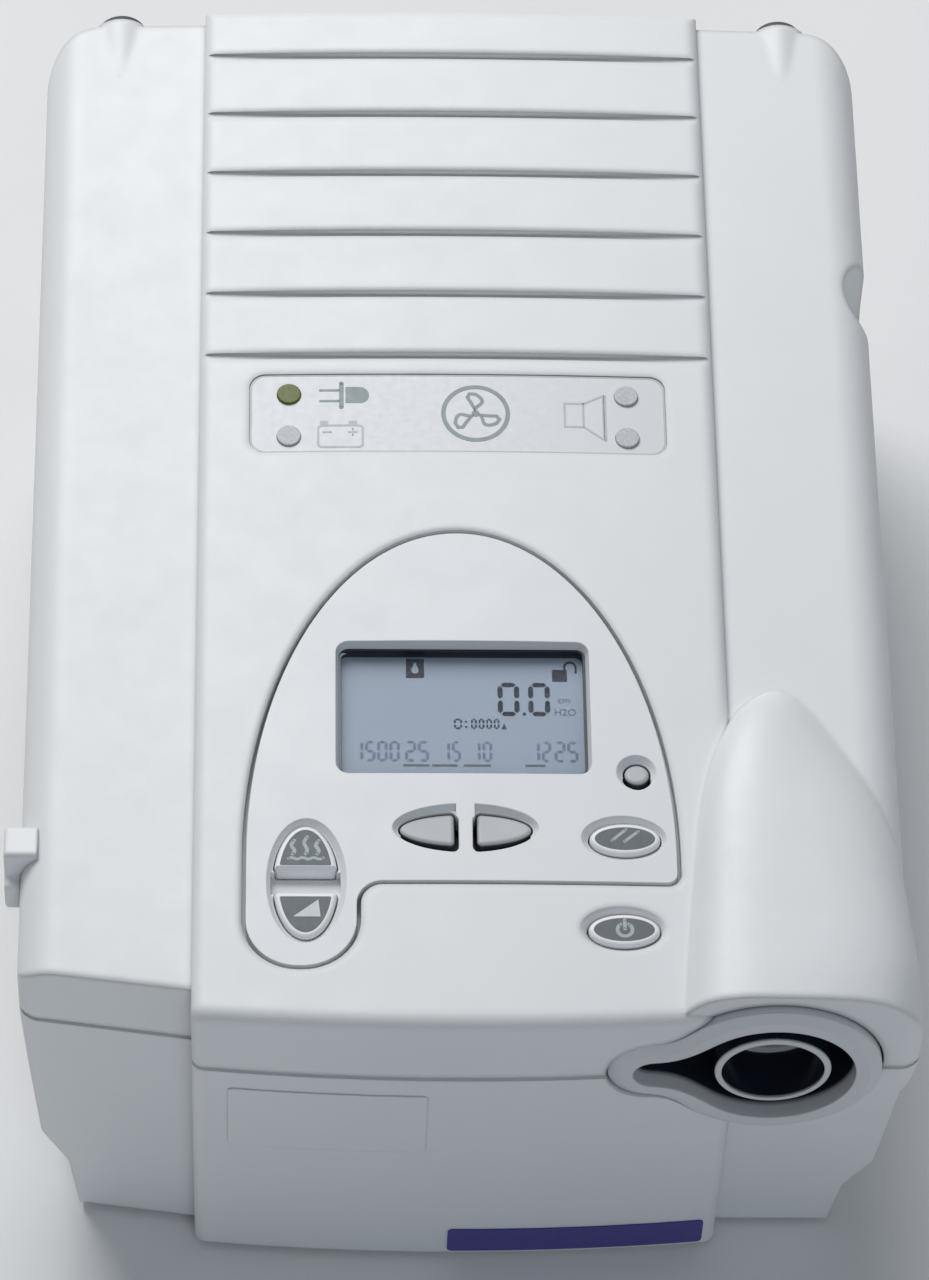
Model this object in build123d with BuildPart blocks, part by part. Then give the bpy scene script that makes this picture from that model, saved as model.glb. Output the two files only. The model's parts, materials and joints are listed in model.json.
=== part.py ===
"""Desktop bilevel CPAP machine, built from its separate pieces.

Millimetres. +X is the machine's right as seen from the front, +Y points to its back and +Z up.
The origin lies on the table, under the middle of the case.
"""

import os
from collections import namedtuple
from math import cos, radians, sin, tan

from build123d import *

os.makedirs("parts", exist_ok=True)

# Case
CASE_W = 168.0  # across both side sections
PANEL_W = 102.4  # raised centre panel
BACK_Y = 120.0  # back of the centre section
FRONT_Y = -118.0  # front of the centre section, at the parting plane
FRONT_BOW = 2.6  # the centre front bows out this far
LEFT_FRONT_Y = -106.4  # left section's front, at its outer end
LEFT_FRONT_RAKE = 4.8  # and how much further out it is beside the centre panel
RIGHT_FRONT_SET = 0.4  # right section's front behind the centre section's
SIDE_BACK_STEP = 2.5  # side sections stop short of the centre's back
BACK_CORNER_R = 12.0
FRONT_CORNER_R = 4.5
SEAM_Z = 68.0  # parting plane
BASE_Z = 1.5  # underside of the bottom enclosure
FRONT_TOP_Z = 86.1  # top face at the front
SLOPE = 6.0  # the top rises to the back, degrees
LEAN = 4.2  # the front leans back towards the table, degrees
LEFT_LEAN = 3.4
RIGHT_LEAN = 8.6
PANEL_RISE = 2.0  # centre panel above the side sections
CROWN = 1.2  # centre panel is higher still in its middle
SIDE_FALL = 1.0  # side sections fall this much to their outer edges
SHOULDER_R = 8.0
EDGE_R = 2.4
WALL = 2.6
FAR = 60.0  # overrun of cutting and trimming forms
SEAM_REVEAL = 1.1  # height and depth of the groove along the parting line

# Side walls of the bottom enclosure: where they step in
SIDE_TAPER = 3.2  # inward by the top of the step
STEP_TOP_Z = 27.0
STEP_IN = 5.0
STEP_BOTTOM_Z = 17.0
STEP_R = 4.0
FOOT_IN = 1.8

# Outlet hump: stations from the front to its nose
HUMP_Y = [-128.0, -112.0, -98.0, -85.0, -73.0, -62.0, -53.0, -46.0]
HUMP_LEFT = [38.9, 40.4, 41.7, 43.0, 44.6, 47.4, 51.5, 57.8]
HUMP_CREST_X = [60.0, 60.3, 60.5, 60.8, 60.9, 60.7, 60.6, 61.0]
HUMP_RIGHT = [86.4, 85.8, 85.1, 84.1, 82.3, 78.3, 72.6, 65.4]
HUMP_RISE = [6.6, 6.5, 6.2, 5.7, 4.9, 3.6, 1.6, -2.1]
HUMP_LEFT_DROP = [0.8, 0.8, 0.8, 0.8, 0.8, 0.9, 1.8, 3.6]  # its left edge below the top plane
HUMP_SIDE_DROP = [10.0, 10.0, 10.2, 10.4, 9.3, 7.0, 5.3, 4.6]  # its right edge below the top plane
HUMP_LEFT_RUN = 0.45  # width per height at its left edge
HUMP_SIDE_RUN = [0.05, 0.05, 0.05, 0.1, 0.25, 0.75, 1.4, 1.8]  # the same at its right edge
BULGE = [(0.0, 0.0), (1.6, 8.0), (6.0, 15.0)]  # its side below the parting plane: inward, down

# Finger scoop in the right edge
SCOOP_Y = 52.0
SCOOP_R = 10.0
SCOOP_DEPTH = 5.2
SCOOP_BALL_Z = 86.0  # its round bottom is centred here

# Cross grooves
GROOVE_COUNT = 6
GROOVE_FIRST_Y = 30.7
GROOVE_PITCH = 15.3
GROOVE_W = 1.7
GROOVE_FLOOR = -0.5

# Indicator label and lights
LABEL_Y = 16.7
LABEL_W = 82.4
LABEL_L = 18.8
LABEL_R = 3.0
LABEL_T = 0.35
LABEL_SINK = 0.25  # label's face below the panel's surface
LIGHT_IN = 7.7  # lights from the label's ends
LIGHT_Y = [21.3, 11.2]
LIGHT_R = 2.4
LIGHT_GAP = 0.05
LIGHT_PROUD = 0.25
LIGHT_DEPTH = 4.4
LIGHT_FLANGE_W = 0.8

# Control panel insert
INSERT_X = -0.6
INSERT_Y = -85.0  # centre of its arch
INSERT_HALF_W = 41.0
INSERT_ARCH = 73.2
INSERT_FLOOR_Y = -91.2
LOBE_BOTTOM_Y = -109.4
LOBE_RIGHT_X = -20.0
LOBE_R = 10.4
LOBE_INSIDE_R = 4.5
INSERT_CORNER_R = 2.5
INSERT_GAP = 0.4  # each side of the line around the insert
INSERT_T = 3.8
FLANGE_W = 2.2

# Display
SCREEN_X = 0.1
SCREEN_Y = -52.2
SCREEN_W = 46.8
SCREEN_L = 28.0
SCREEN_R = 1.5
SCREEN_BEVEL = 1.1
DISPLAY_EDGE = 1.5  # display plates reach this far past the opening
WINDOW_DEPTH = 1.9  # window's top below the top plane
WINDOW_T = 1.2
DISPLAY_T = 2.6
FIT = 0.15  # between a plate and its pocket

# Keys: centre, half-axes, and the part of the ellipse that is kept
OVAL_X = 6.7
OVAL_Y = 3.5
PAIR_AT = (0.2, -79.2)
PAIR_X = 12.5
PAIR_Y = 3.9
PAIR_GAP = 4.2
SPLIT_AT = (-30.0, -90.7)
SPLIT_X = 6.1
SPLIT_Y = 12.2
SPLIT_GAP = 4.8
LIGHT_KEY_AT = (33.0, -66.5)
LIGHT_KEY_R = 2.4
SILENCE_AT = (30.3, -81.2)
STANDBY_AT = (29.6, -101.0)
KEY_GAP = 0.3  # around and under every key
KEY_NEAR_GAP = 1.3  # more on the near side of the plain keys
KEY_INNER_GAP = 0.5  # and on the inner sides of a pair
KEY_SINK = 0.15  # key top below the panel's surface
PLAIN_SINK = 0.8  # the same in the middle of a plain key
PLAIN_TILT = 9.0  # a plain key's top rises to its near side, degrees
KEY_FLANGE_W = 0.9
KEY_FLANGE_T = 1.2
KEY_CORNER_R = 0.9
KEY_CORNER_LEAST_R = 0.3  # where the outline is taken in
KEY_ROUND = 0.8
SPLIT_SLOPE_W = 0.9  # sloped near edge of the far half of the split key
SPLIT_SLOPE = 45.0
KEY_TRAVEL = 0.8
KEY_REST_GAP = 0.3  # left over the mat when a key is fully down
STEM_R = 1.5
DISH_DEPTH = 1.2
DISH_RISE = 0.3
DISH_FLOOR_W = 0.5
DISH_W = 1.7
VALLEY_DEPTH = 2.6  # between the two halves of the split key
INLAY_EDGE = 1.0
INLAY_T = 0.4

# Control board stack, below the top plane
BOARD_DEPTH = 9.0
BOARD_T = 1.6
BOARD_W = 80.0
BOARD_FRONT_Y = -103.9
BOARD_BACK_Y = -24.0
SWITCH_W = 5.0
SWITCH_H = 2.0
PLUNGER_R = 1.5
MAT_T = 0.6
MAT_W = 76.0
MAT_GAP = 0.2  # round what passes through the mat
MAT_BACK_Y = -71.0
MAT_TAB_Y = -62.0
MAT_TAB_X = (27.0, 38.0)
POST_R = 2.2
POSTS = [(-30.0, -56.0), (30.0, -50.0), (-17.5, -86.0), (18.0, -86.0)]
BUZZER_AT = (-25.0, -36.0)
BUZZER_R = 6.0
BUZZER_T = 5.0
RIBBON_W = 14.0
RIBBON_T = 0.6

# Outlet: teardrop collar and breathing port, on the leaning front plane
PORT_X = 57.9
PORT_UP = 0.8  # above the parting plane
PORT_R = 11.0  # 22 mm breathing port
PORT_BORE_R = 9.7
PORT_STEP_R = 8.7
PORT_STEP_DEPTH = 9.0
PORT_PROUD = 1.3
PORT_LENGTH = 31.3
PORT_FLANGE_R = 14.0
PORT_FLANGE_T = 2.0
PORT_GAP = 0.6  # between the port and the collar
PORT_LIP_R = 0.5
COLLAR_R = 20.5
COLLAR_LOBE_R = 9.0
COLLAR_LOBE_X = 35.8
COLLAR_TURN = 130  # the round outline ends this far round from +X, degrees
LOBE_TURN = 95  # and the lobe's begins
COLLAR_DEPTH = 14.0
COLLAR_FLOOR_T = 2.0
COLLAR_EDGE = 1.0  # outer edge of the collar's face
COLLAR_PROUD = 2.2  # its raised rim
RECESS_R = 15.6
RECESS_LOBE_R = 4.3
RECESS_TAPER = 0.6
RIM_FALL = 2.2  # collar face slopes over this width
RAMP = [(31.0, -1.5), (38.0, -3.5), (47.0, -11.0)]  # lobe's floor falls towards the port: X, depth

# Blower
BLOWER_AT = (18.0, 24.0)
VOLUTE_R = 44.0
VOLUTE_WALL = 2.0
VOLUTE_BOTTOM_Z = 34.0
VOLUTE_SPLIT_Z = 48.0
VOLUTE_TOP_Z = 62.0
OUTLET_X = 51.0
OUTLET_W = 22.0
OUTLET_Y = -24.0
INLET_R = 12.0
IMPELLER_R = 36.0
IMPELLER_DISC_T = 2.0
IMPELLER_Z = 39.0
BLADE_TOP_Z = 56.0
BLADE_T = 1.6
BLADE_L = 29.0
BLADE_SWEEP = 24.0  # blades lean back from the radius, degrees
BLADE_COUNT = 10
HUB_R = 8.0
HUB_BOTTOM_Z = 37.0
HUB_TOP_Z = 50.0
NECK_T = 2.0
NECK_TOP_Z = 68.6
SHAFT_R = 2.5
BEARING_R = 6.0
BEARING_T = 2.0
BEARING_GAP = 0.05  # shaft in its bearings
BEARING_FIT = 0.02  # bearings in their seats
MOTOR_R = 21.0
MOTOR_WALL = 1.5
MOTOR_BOTTOM_Z = 12.0
STATOR_BORE_R = 12.6
STATOR_FIT = 0.1
STATOR_Z = (16.0, 31.0)
MAGNET_R = 12.0
MAGNET_Z = (17.0, 30.0)
EAR_OUT = 35.0
EAR_R = 8.0
EAR_T = 4.0
MOUNT_R = 6.0
MOUNT_T = 8.0
MOUNT_WAIST_R = 4.5
MOUNT_WAIST_T = 2.0

# Ducts and filters
DUCT_WALL = 1.6
INTAKE_W = 54.0
INTAKE_H = 25.0
INTAKE_FRONT_Y = -6.0
FILTER_GAP = 0.9  # between the filters and the duct's sides
FILTER_AT_Y = 108.0
FOAM_T = 8.0
FINE_T = 2.0
CAP_T = 3.6
CAP_MARGIN = 3.0
CAP_CORNER_R = 3.0
CAP_PLUG = 7.0
CAP_GAP = 0.3
CAP_ROUND = 0.9
CAP_SLOTS = 7
CAP_SLOT_W = 3.4
CAP_SLOT_L = 15.0
CAP_SLOT_PITCH = 6.6
OUTLET_DUCT_R = 12.0

# Boards in the bottom
BOARD_STAND = 5.0  # board above the enclosure's floor
MAIN_IN = (32.0, 18.0)  # main board from the case's sides
MAIN_Y = (-102.0, -60.0)
POWER_IN = 16.0  # power board from the case's left side
POWER_RIGHT_X = -28.0
POWER_Y = (-55.0, 88.0)
STANDOFF_R = 3.0
PEG_R = 1.1
PEG_GAP = 0.1
HOLE_EDGE = 5.0  # board's holes from its edges
SENSOR_SIZE = (14.0, 12.0, 9.0)
TUBE_R = 3.0
TUBE_BORE_R = 1.6
TUBE_UP_DEPTH = 24.0  # tube meets the port this far behind its mouth
TUBE_IN = 7.0  # and this far to the left of its axis
# boxes on the main board: X, Y, width, length, height; the first is the ribbon's socket
MAIN_PARTS = [
    (-14.0, -88.0, 18.0, 5.0, 6.0),
    (4.0, -80.0, 14.0, 14.0, 1.8),
    (24.0, -84.0, 10.0, 10.0, 1.6),
    (-36.0, -78.0, 9.0, 6.0, 1.6),
    (40.0, -72.0, 16.0, 6.0, 8.0),
    (-6.0, -66.0, 20.0, 5.0, 7.0),
]
# upright cans on the power board: share of its width, Y, radius, height
POWER_CANS = [
    (0.25, 62.0, 8.0, 26.0),
    (0.7, 66.0, 5.0, 14.0),
    (0.25, -20.0, 6.3, 20.0),
    (0.65, -24.0, 5.0, 16.0),
]
# boxes on the power board: share of its width, Y, width, length, height
POWER_PARTS = [
    (0.75, 50.0, 6.0, 14.0, 18.0),
    (0.2, -36.0, 6.0, 20.0, 16.0),
    (0.7, -40.0, 14.0, 8.0, 12.0),
]
TRANSFORMER_AT = (0.5, 20.0)  # share of the board's width, Y
CORE_W = 34.0
CORE_L = 26.0
CORE_H = 24.0
COIL_W = 24.0
COIL_L = 34.0
COIL_H = 19.0

# Back connectors
AC_X = -32.0
AC_Z = 28.0
AC_W = 27.0
AC_H = 19.6
AC_DEPTH = 22.0
AC_LIP = 1.8
LIP_W = 1.5  # a connector's lip past its body
AC_SOCKET_W = 24.4
AC_SOCKET_H = 16.8
AC_SOCKET_DEPTH = 15.0
PIN_H = 4.0
PIN_T = 2.0
PIN_L = 12.0
PIN_TAIL = 2.0  # behind the inlet's body
PIN_SPACING = 7.0
PIN_DROP = 3.0
DC_X = 0.0
DC_Z = 24.0
DC_W = 12.0
DC_BORE_R = 3.3
DC_BORE_DEPTH = 10.0
DC_PIN_R = 1.1
DATA_X = 28.0
DATA_Z = 26.0
DATA_W = 30.8
DATA_H = 12.5
DATA_SHELL_W = 18.0
DATA_SHELL_H = 8.6
DATA_SHELL_L = 5.0
DATA_SHELL_WALL = 0.6
CONNECTOR_LIP = 1.2
CONNECTOR_DEPTH = 12.0

# Small outside pieces
FOOT_R = 6.0
FOOT_T = 2.5
FOOT_ROUND = 0.6
FEET = [(50.0, -74.0), (-50.0, -74.0), (50.0, 84.0), (-50.0, 84.0)]
BUMPER_X = 68.6
BUMPER_Z = 103.0
BUMPER_BOSS_R = 6.5
BUMPER_BOSS_TIP_R = 4.0
BUMPER_BOSS_L = 14.0
BUMPER_BOSS_OUT = 1.1
BUMPER_R = 5.0
BUMPER_T = 4.0
BUMPER_SUNK = 1.2
SCREW_IN = 24.0  # outer screws from the case's sides
SCREW_Y = (-92.0, 104.0)
FRONT_SCREW = (8.0, -108.4)
BOSS_R = 4.2
LOWER_BOSS_R = 5.2
SCREW_R = 1.45
SCREW_PLAY = 0.05  # thread in its pilot hole
SCREW_DRIVE_R = 1.3
SCREW_DRIVE_DEPTH = 1.2
SCREW_HEAD_R = 3.0
SCREW_HEAD_T = 2.2
SCREW_HEAD_Z = 52.0
SCREW_L = 22.0
SCREW_GAP = 0.3
CLIP_OUT = 3.0
CLIP_IN = 3.4  # it reaches this far over the rounded shoulder
CLIP_Y = (-85.3, -83.0, -76.0)
CLIP_Z = (73.0, 80.0, 87.0)
CLIP_R = 0.9
STRIP_IN = 2.6  # label strip from the centre section's right edge
STRIP_W = 50.2
STRIP_Z = (2.6, 10.8)
PLATE_IN = 6.7  # bare plate from the centre section's left edge
PLATE_W = 37.8
PLATE_Z = (40.7, 61.3)
SHEET_T = 0.3
SHEET_R = 1.0

SLOPE_TAN = tan(radians(SLOPE))
TOP_Z0 = FRONT_TOP_Z - FRONT_Y * SLOPE_TAN
HALF = CASE_W / 2
PANEL = PANEL_W / 2
FLOOR_Z = BASE_Z + WALL
COVER_T = WALL * cos(radians(SLOPE))  # cover's flat underside below the top plane
SCOOP_X = HALF - SCOOP_DEPTH + SCOOP_R
LIGHT_X = LABEL_W / 2 - LIGHT_IN
LIGHTS = [(x, y) for x in (-LIGHT_X, LIGHT_X) for y in LIGHT_Y]
KEY_BOTTOM = -BOARD_DEPTH + SWITCH_H + MAT_T + KEY_REST_GAP + KEY_TRAVEL
BLOWER_X, BLOWER_Y = BLOWER_AT
BEARING_SEATS = (MOTOR_BOTTOM_Z, VOLUTE_BOTTOM_Z)
MOUNTS = [(BLOWER_X + x * EAR_OUT, BLOWER_Y + y * EAR_OUT) for x in (-1, 1) for y in (-1, 1)]
MOUNT_SEAT_Z = VOLUTE_BOTTOM_Z - MOUNT_T
BOARD_Z = FLOOR_Z + BOARD_STAND
BOARD_TOP_Z = BOARD_Z + BOARD_T
MAIN_X = (-HALF + MAIN_IN[0], HALF - MAIN_IN[1])
POWER_X = (-HALF + POWER_IN, POWER_RIGHT_X)
POWER_W = POWER_X[1] - POWER_X[0]
MAIN_HOLES = [
    (x, y)
    for x in (MAIN_X[0] + HOLE_EDGE, MAIN_X[1] - HOLE_EDGE)
    for y in (MAIN_Y[0] + HOLE_EDGE, MAIN_Y[1] - HOLE_EDGE)
]
POWER_HOLES = [
    (x, y)
    for x in (POWER_X[0] + HOLE_EDGE, POWER_X[1] - HOLE_EDGE)
    for y in (POWER_Y[0] + HOLE_EDGE, POWER_Y[1] - HOLE_EDGE)
]
DUCT_END_Y = BACK_Y - WALL
DUCT_X = (BLOWER_X - INTAKE_W / 2, BLOWER_X + INTAKE_W / 2)
DUCT_Z = (NECK_TOP_Z, NECK_TOP_Z + INTAKE_H)
FILTER_X = (DUCT_X[0] + DUCT_WALL, DUCT_X[1] - DUCT_WALL)
FILTER_Z = (DUCT_Z[0] + DUCT_WALL, DUCT_Z[1] - DUCT_WALL)
FILTER_W = INTAKE_W - 2 * (DUCT_WALL + FILTER_GAP)
FILTER_H = INTAKE_H - 2 * (DUCT_WALL + FILTER_GAP)
PORT_REAR = PORT_LENGTH - PORT_PROUD
SCREWS = [
    FRONT_SCREW,
    (-HALF + SCREW_IN, SCREW_Y[0]),
    (-HALF + SCREW_IN, SCREW_Y[1]),
    (HALF - SCREW_IN, SCREW_Y[1]),
]
STRIP_X = (PANEL - STRIP_IN - STRIP_W, PANEL - STRIP_IN)
PLATE_X = (-PANEL + PLATE_IN, -PANEL + PLATE_IN + PLATE_W)

TOP = Plane(
    origin=(0, 0, TOP_Z0), x_dir=(1, 0, 0), z_dir=(0, -sin(radians(SLOPE)), cos(radians(SLOPE)))
)
FRONT = Plane(
    origin=(0, FRONT_Y, SEAM_Z), x_dir=(1, 0, 0), z_dir=(0, -cos(radians(LEAN)), -sin(radians(LEAN)))
)
ACROSS_FRONT = Plane(
    origin=(0, FRONT_Y, SEAM_Z), x_dir=(1, 0, 0), z_dir=(0, -sin(radians(LEAN)), cos(radians(LEAN)))
)


def top_z(y):
    """Height of the top plane at depth y."""
    return TOP_Z0 + y * SLOPE_TAN


def on_top(x, y):
    """A point of the top plane, in that plane's own coordinates."""
    return (x, y / cos(radians(SLOPE)))


def crown_at(x):
    """How far the centre panel stands above the top plane at width x."""
    return CROWN * (1 - (x / PANEL) ** 2)


def facing_front(y):
    """A plane across the machine at depth y, looking out of the front."""
    return Plane(origin=(0, y, 0), x_dir=(1, 0, 0), z_dir=(0, -1, 0))


def facing_back(y):
    """A plane across the machine at depth y, looking out of the back; its X runs to -X."""
    return Plane(origin=(0, y, 0), x_dir=(-1, 0, 0), z_dir=(0, 1, 0))


def lean_dir(lean):
    """Upward direction of a front face that leans back towards the table."""
    return (0, -tan(radians(lean)), 1)


# ---- Case forms ----


def centre_section(inset, crown):
    """The raised centre section, or the form `inset` inside it."""
    half = PANEL - inset
    back = BACK_Y - inset
    far = BACK_Y * 4
    top = top_z(back) - inset
    with BuildPart() as block:
        with BuildSketch(ACROSS_FRONT):
            with BuildLine():
                ThreePointArc((-half, inset), (0, inset - FRONT_BOW), (half, inset))
                Polyline((half, inset), (half, far), (-half, far), (-half, inset))
            make_face()
            if not inset:
                fillet(vertices().sort_by(Axis.Y)[:2], EDGE_R)
        extrude(amount=SEAM_Z * 2, both=True)
        with BuildSketch(Plane(origin=(0, back, top), x_dir=(1, 0, 0), z_dir=(0, -1, -SLOPE_TAN))):
            with BuildLine():
                if crown:
                    ThreePointArc((-half, 0), (0, crown), (half, 0))
                else:
                    Line((-half, 0), (half, 0))
                Polyline((half, 0), (half, -far), (-half, -far), (-half, 0))
            make_face()
        extrude(amount=far, both=True, mode=Mode.INTERSECT)
        with BuildSketch(Plane.XY.offset(BASE_Z + inset)):
            with Locations((0, back)):
                Rectangle(CASE_W * 2, far, align=(Align.CENTER, Align.MAX))
        extrude(amount=SEAM_Z * 3, mode=Mode.INTERSECT)
        if not inset:
            fillet(block.faces().sort_by(Axis.Z)[-1].edges(), EDGE_R)
    return block.part


def front_limit(inset, side):
    """Everything behind the front face of one side section (-1 left, 1 right)."""
    if side < 0:
        corner = (-HALF + inset, LEFT_FRONT_Y + inset)
        beside = (-PANEL, LEFT_FRONT_Y - LEFT_FRONT_RAKE + inset)
        lean = LEFT_LEAN
    else:
        corner = (HUMP_RIGHT[0] - inset, FRONT_Y + RIGHT_FRONT_SET + inset)
        beside = (PANEL, FRONT_Y + RIGHT_FRONT_SET + inset)
        lean = RIGHT_LEAN
    with BuildPart() as limit:
        for direction in (lean_dir(LEAN), tuple(-c for c in lean_dir(lean))):
            with BuildSketch(Plane.XY.offset(SEAM_Z)):
                with BuildLine():
                    Polyline(
                        (0, beside[1]),
                        beside,
                        corner,
                        (corner[0], BACK_Y + FAR),
                        (0, BACK_Y + FAR),
                        close=True,
                    )
                make_face()
                if not inset:
                    outer = vertices().sort_by(lambda v: abs(v.X - corner[0]) + abs(v.Y - corner[1]))[0]
                    fillet(outer, FRONT_CORNER_R)
            extrude(amount=SEAM_Z * 2, dir=direction)
    return limit.part


def side_sections(inset):
    """Both side sections, or the form `inset` inside them."""
    half = HALF - inset
    back = BACK_Y - SIDE_BACK_STEP - inset
    top = top_z(back) - PANEL_RISE - inset
    left, right = front_limit(inset, -1), front_limit(inset, 1)
    with BuildPart() as block:
        with BuildSketch(facing_front(back)):
            with BuildLine():
                Polyline(
                    (-half, top - SIDE_FALL),
                    (-PANEL, top),
                    (PANEL, top),
                    (half, top - SIDE_FALL),
                    (half, -FAR),
                    (-half, -FAR),
                    close=True,
                )
            make_face()
            beyond = (PANEL + half) / 2
            fillet([v for v in vertices() if abs(v.X) > beyond and v.Y > 0], SHOULDER_R - inset)
        extrude(amount=BACK_Y * 4, dir=(0, -1, -SLOPE_TAN))
        with BuildSketch(facing_front(BACK_Y * 2)):
            with BuildLine():
                Polyline(
                    (half, SEAM_Z * 3),
                    (half, SEAM_Z),
                    (half - SIDE_TAPER, STEP_TOP_Z),
                    (half - SIDE_TAPER - STEP_IN, STEP_BOTTOM_Z),
                    (half - SIDE_TAPER - STEP_IN - FOOT_IN, BASE_Z + inset),
                    (0, BASE_Z + inset),
                    (0, SEAM_Z * 3),
                    close=True,
                )
            make_face()
            if not inset:
                fillet([v for v in vertices() if STEP_BOTTOM_Z - 1 < v.Y < STEP_TOP_Z + 1], STEP_R)
            mirror(about=Plane.YZ)
        extrude(amount=BACK_Y * 4, mode=Mode.INTERSECT)
        with BuildSketch(Plane.XY):
            with Locations((0, back)):
                Rectangle(half * 2, BACK_Y * 3, align=(Align.CENTER, Align.MAX))
            fillet([v for v in vertices() if v.Y > 0], BACK_CORNER_R - inset)
        extrude(amount=SEAM_Z * 3, mode=Mode.INTERSECT)
        add(left + right, mode=Mode.INTERSECT)
    return block.part


def hump(inset):
    """Housing of the outlet duct: a long dome that dies out in its nose."""
    limit = front_limit(inset, 1)
    with BuildPart() as dome:
        for y, left, crest, right, rise, left_drop, drop, run in zip(
            HUMP_Y,
            HUMP_LEFT,
            HUMP_CREST_X,
            HUMP_RIGHT,
            HUMP_RISE,
            HUMP_LEFT_DROP,
            HUMP_SIDE_DROP,
            HUMP_SIDE_RUN,
        ):
            z = top_z(y) - inset
            start = (left + inset, z - left_drop)
            end = (right - inset, z - drop)
            with BuildSketch(facing_front(y)):
                with BuildLine():
                    Spline(start, (crest, z + rise), end, tangents=[(HUMP_LEFT_RUN, 1), (run, -1)])
                    Polyline(end, (right - inset, SEAM_Z - WALL), (left + inset, SEAM_Z - WALL), start)
                make_face()
        loft()
        add(limit, mode=Mode.INTERSECT)
    return dome.part


def under_hump(inset):
    """The bulge below the parting plane that carries the hump's outer side down."""
    limit = front_limit(inset, 1)
    with BuildPart() as bulge:
        for y, right in ((HUMP_Y[0], HUMP_RIGHT[0]), (HUMP_Y[2], HUMP_RIGHT[2])):
            top, middle, bottom = [(right - inset - inward, SEAM_Z - down) for inward, down in BULGE]
            with BuildSketch(facing_front(y)):
                with BuildLine():
                    ThreePointArc(top, middle, bottom)
                    Polyline(bottom, (PANEL, bottom[1]), (PANEL, SEAM_Z), top)
                make_face()
        loft()
        add(limit, mode=Mode.INTERSECT)
    return bulge.part


def case_form(inset, crown):
    """The whole case as one form, or the form `inset` inside it."""
    return centre_section(inset, crown) + side_sections(inset) + hump(inset) + under_hump(inset)


CASE_OUTER = case_form(0, CROWN)
CASE_INNER = case_form(WALL, 0)
SEAM_CORE = case_form(SEAM_REVEAL, 0)
PANEL_TRIM = centre_section(0, CROWN)


# ---- Shapes that several pieces share ----


def block(x, y, z, mode=Mode.ADD):
    """A box between pairs of coordinates."""
    with Locations(((x[0] + x[1]) / 2, (y[0] + y[1]) / 2, (z[0] + z[1]) / 2)):
        Box(x[1] - x[0], y[1] - y[0], z[1] - z[0], mode=mode)


def column(at, z, radius, mode=Mode.ADD):
    """An upright cylinder at (x, y), between a pair of heights."""
    with Locations((at[0], at[1], z[0])):
        Cylinder(radius, z[1] - z[0], align=(Align.CENTER, Align.CENTER, Align.MIN), mode=mode)


def about(middle, width):
    """A pair of coordinates, `width` apart."""
    return (middle - width / 2, middle + width / 2)


def arch_face(grow):
    """Outline of the control panel, grown on every side."""
    left = INSERT_X - INSERT_HALF_W - grow
    right = INSERT_X + INSERT_HALF_W + grow
    centre = on_top(INSERT_X, INSERT_Y)
    arch = on_top(0, INSERT_ARCH)[1] + grow
    floor = on_top(0, INSERT_FLOOR_Y)[1] - grow
    bottom = on_top(0, LOBE_BOTTOM_Y)[1] - grow
    inner = LOBE_RIGHT_X + grow
    with BuildSketch(Plane.XY) as outline:
        with BuildLine():
            EllipticalCenterArc(centre, INSERT_HALF_W + grow, arch, start_angle=0, arc_size=180)
            Polyline(
                (left, centre[1]),
                (left, bottom),
                (inner, bottom),
                (inner, floor),
                (right, floor),
                (right, centre[1]),
            )
        make_face()
        fillet([v for v in vertices() if v.Y < (bottom + floor) / 2], LOBE_R + grow)
        fillet(vertices().sort_by(lambda v: abs(v.X - inner) + abs(v.Y - floor))[0], LOBE_INSIDE_R - grow)
        fillet(vertices().sort_by(lambda v: abs(v.X - right) + abs(v.Y - floor))[0], INSERT_CORNER_R + grow)
    return outline.sketch


def screen_face(grow):
    """Outline of the display, grown on every side."""
    with BuildSketch(Plane.XY) as outline:
        with Locations(on_top(SCREEN_X, SCREEN_Y)):
            RectangleRounded(SCREEN_W + 2 * grow, SCREEN_L + 2 * grow, SCREEN_R + max(grow, 0))
    return outline.sketch


def teardrop_face(radius, lobe_radius):
    """Round outline about the port, drawn out to a smaller lobe on its left."""
    turn, lobe_turn = radians(COLLAR_TURN), radians(LOBE_TURN)
    round_end = (PORT_X + radius * cos(turn), PORT_UP + radius * sin(turn))
    lobe_end = (COLLAR_LOBE_X + lobe_radius * cos(lobe_turn), PORT_UP + lobe_radius * sin(lobe_turn))
    round_low, lobe_low = [(x, 2 * PORT_UP - y) for x, y in (round_end, lobe_end)]
    away, level = (-sin(turn), cos(turn)), (-sin(lobe_turn), cos(lobe_turn))
    with BuildSketch(Plane.XY) as outline:
        with BuildLine():
            CenterArc((PORT_X, PORT_UP), radius, -COLLAR_TURN, 2 * COLLAR_TURN)
            Spline(round_end, lobe_end, tangents=[away, level])
            CenterArc((COLLAR_LOBE_X, PORT_UP), lobe_radius, LOBE_TURN, 360 - 2 * LOBE_TURN)
            Spline(lobe_low, round_low, tangents=[(-level[0], level[1]), (-away[0], away[1])])
        make_face()
    return outline.sketch


def label_sheet(grow, rise, depth):
    """A sheet at the label's place, from `depth` under the panel's crowned surface to `rise` over it."""
    with BuildPart() as sheet:
        with BuildSketch(TOP.offset(-FAR / 2)):
            with Locations(on_top(0, LABEL_Y)):
                RectangleRounded(LABEL_W + 2 * grow, LABEL_L + 2 * grow, LABEL_R + grow)
        extrude(amount=FAR)
        add(PANEL_TRIM.moved(Location((0, 0, rise))), mode=Mode.INTERSECT)
        add(PANEL_TRIM.moved(Location((0, 0, -depth))), mode=Mode.SUBTRACT)
    return sheet.part


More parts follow.
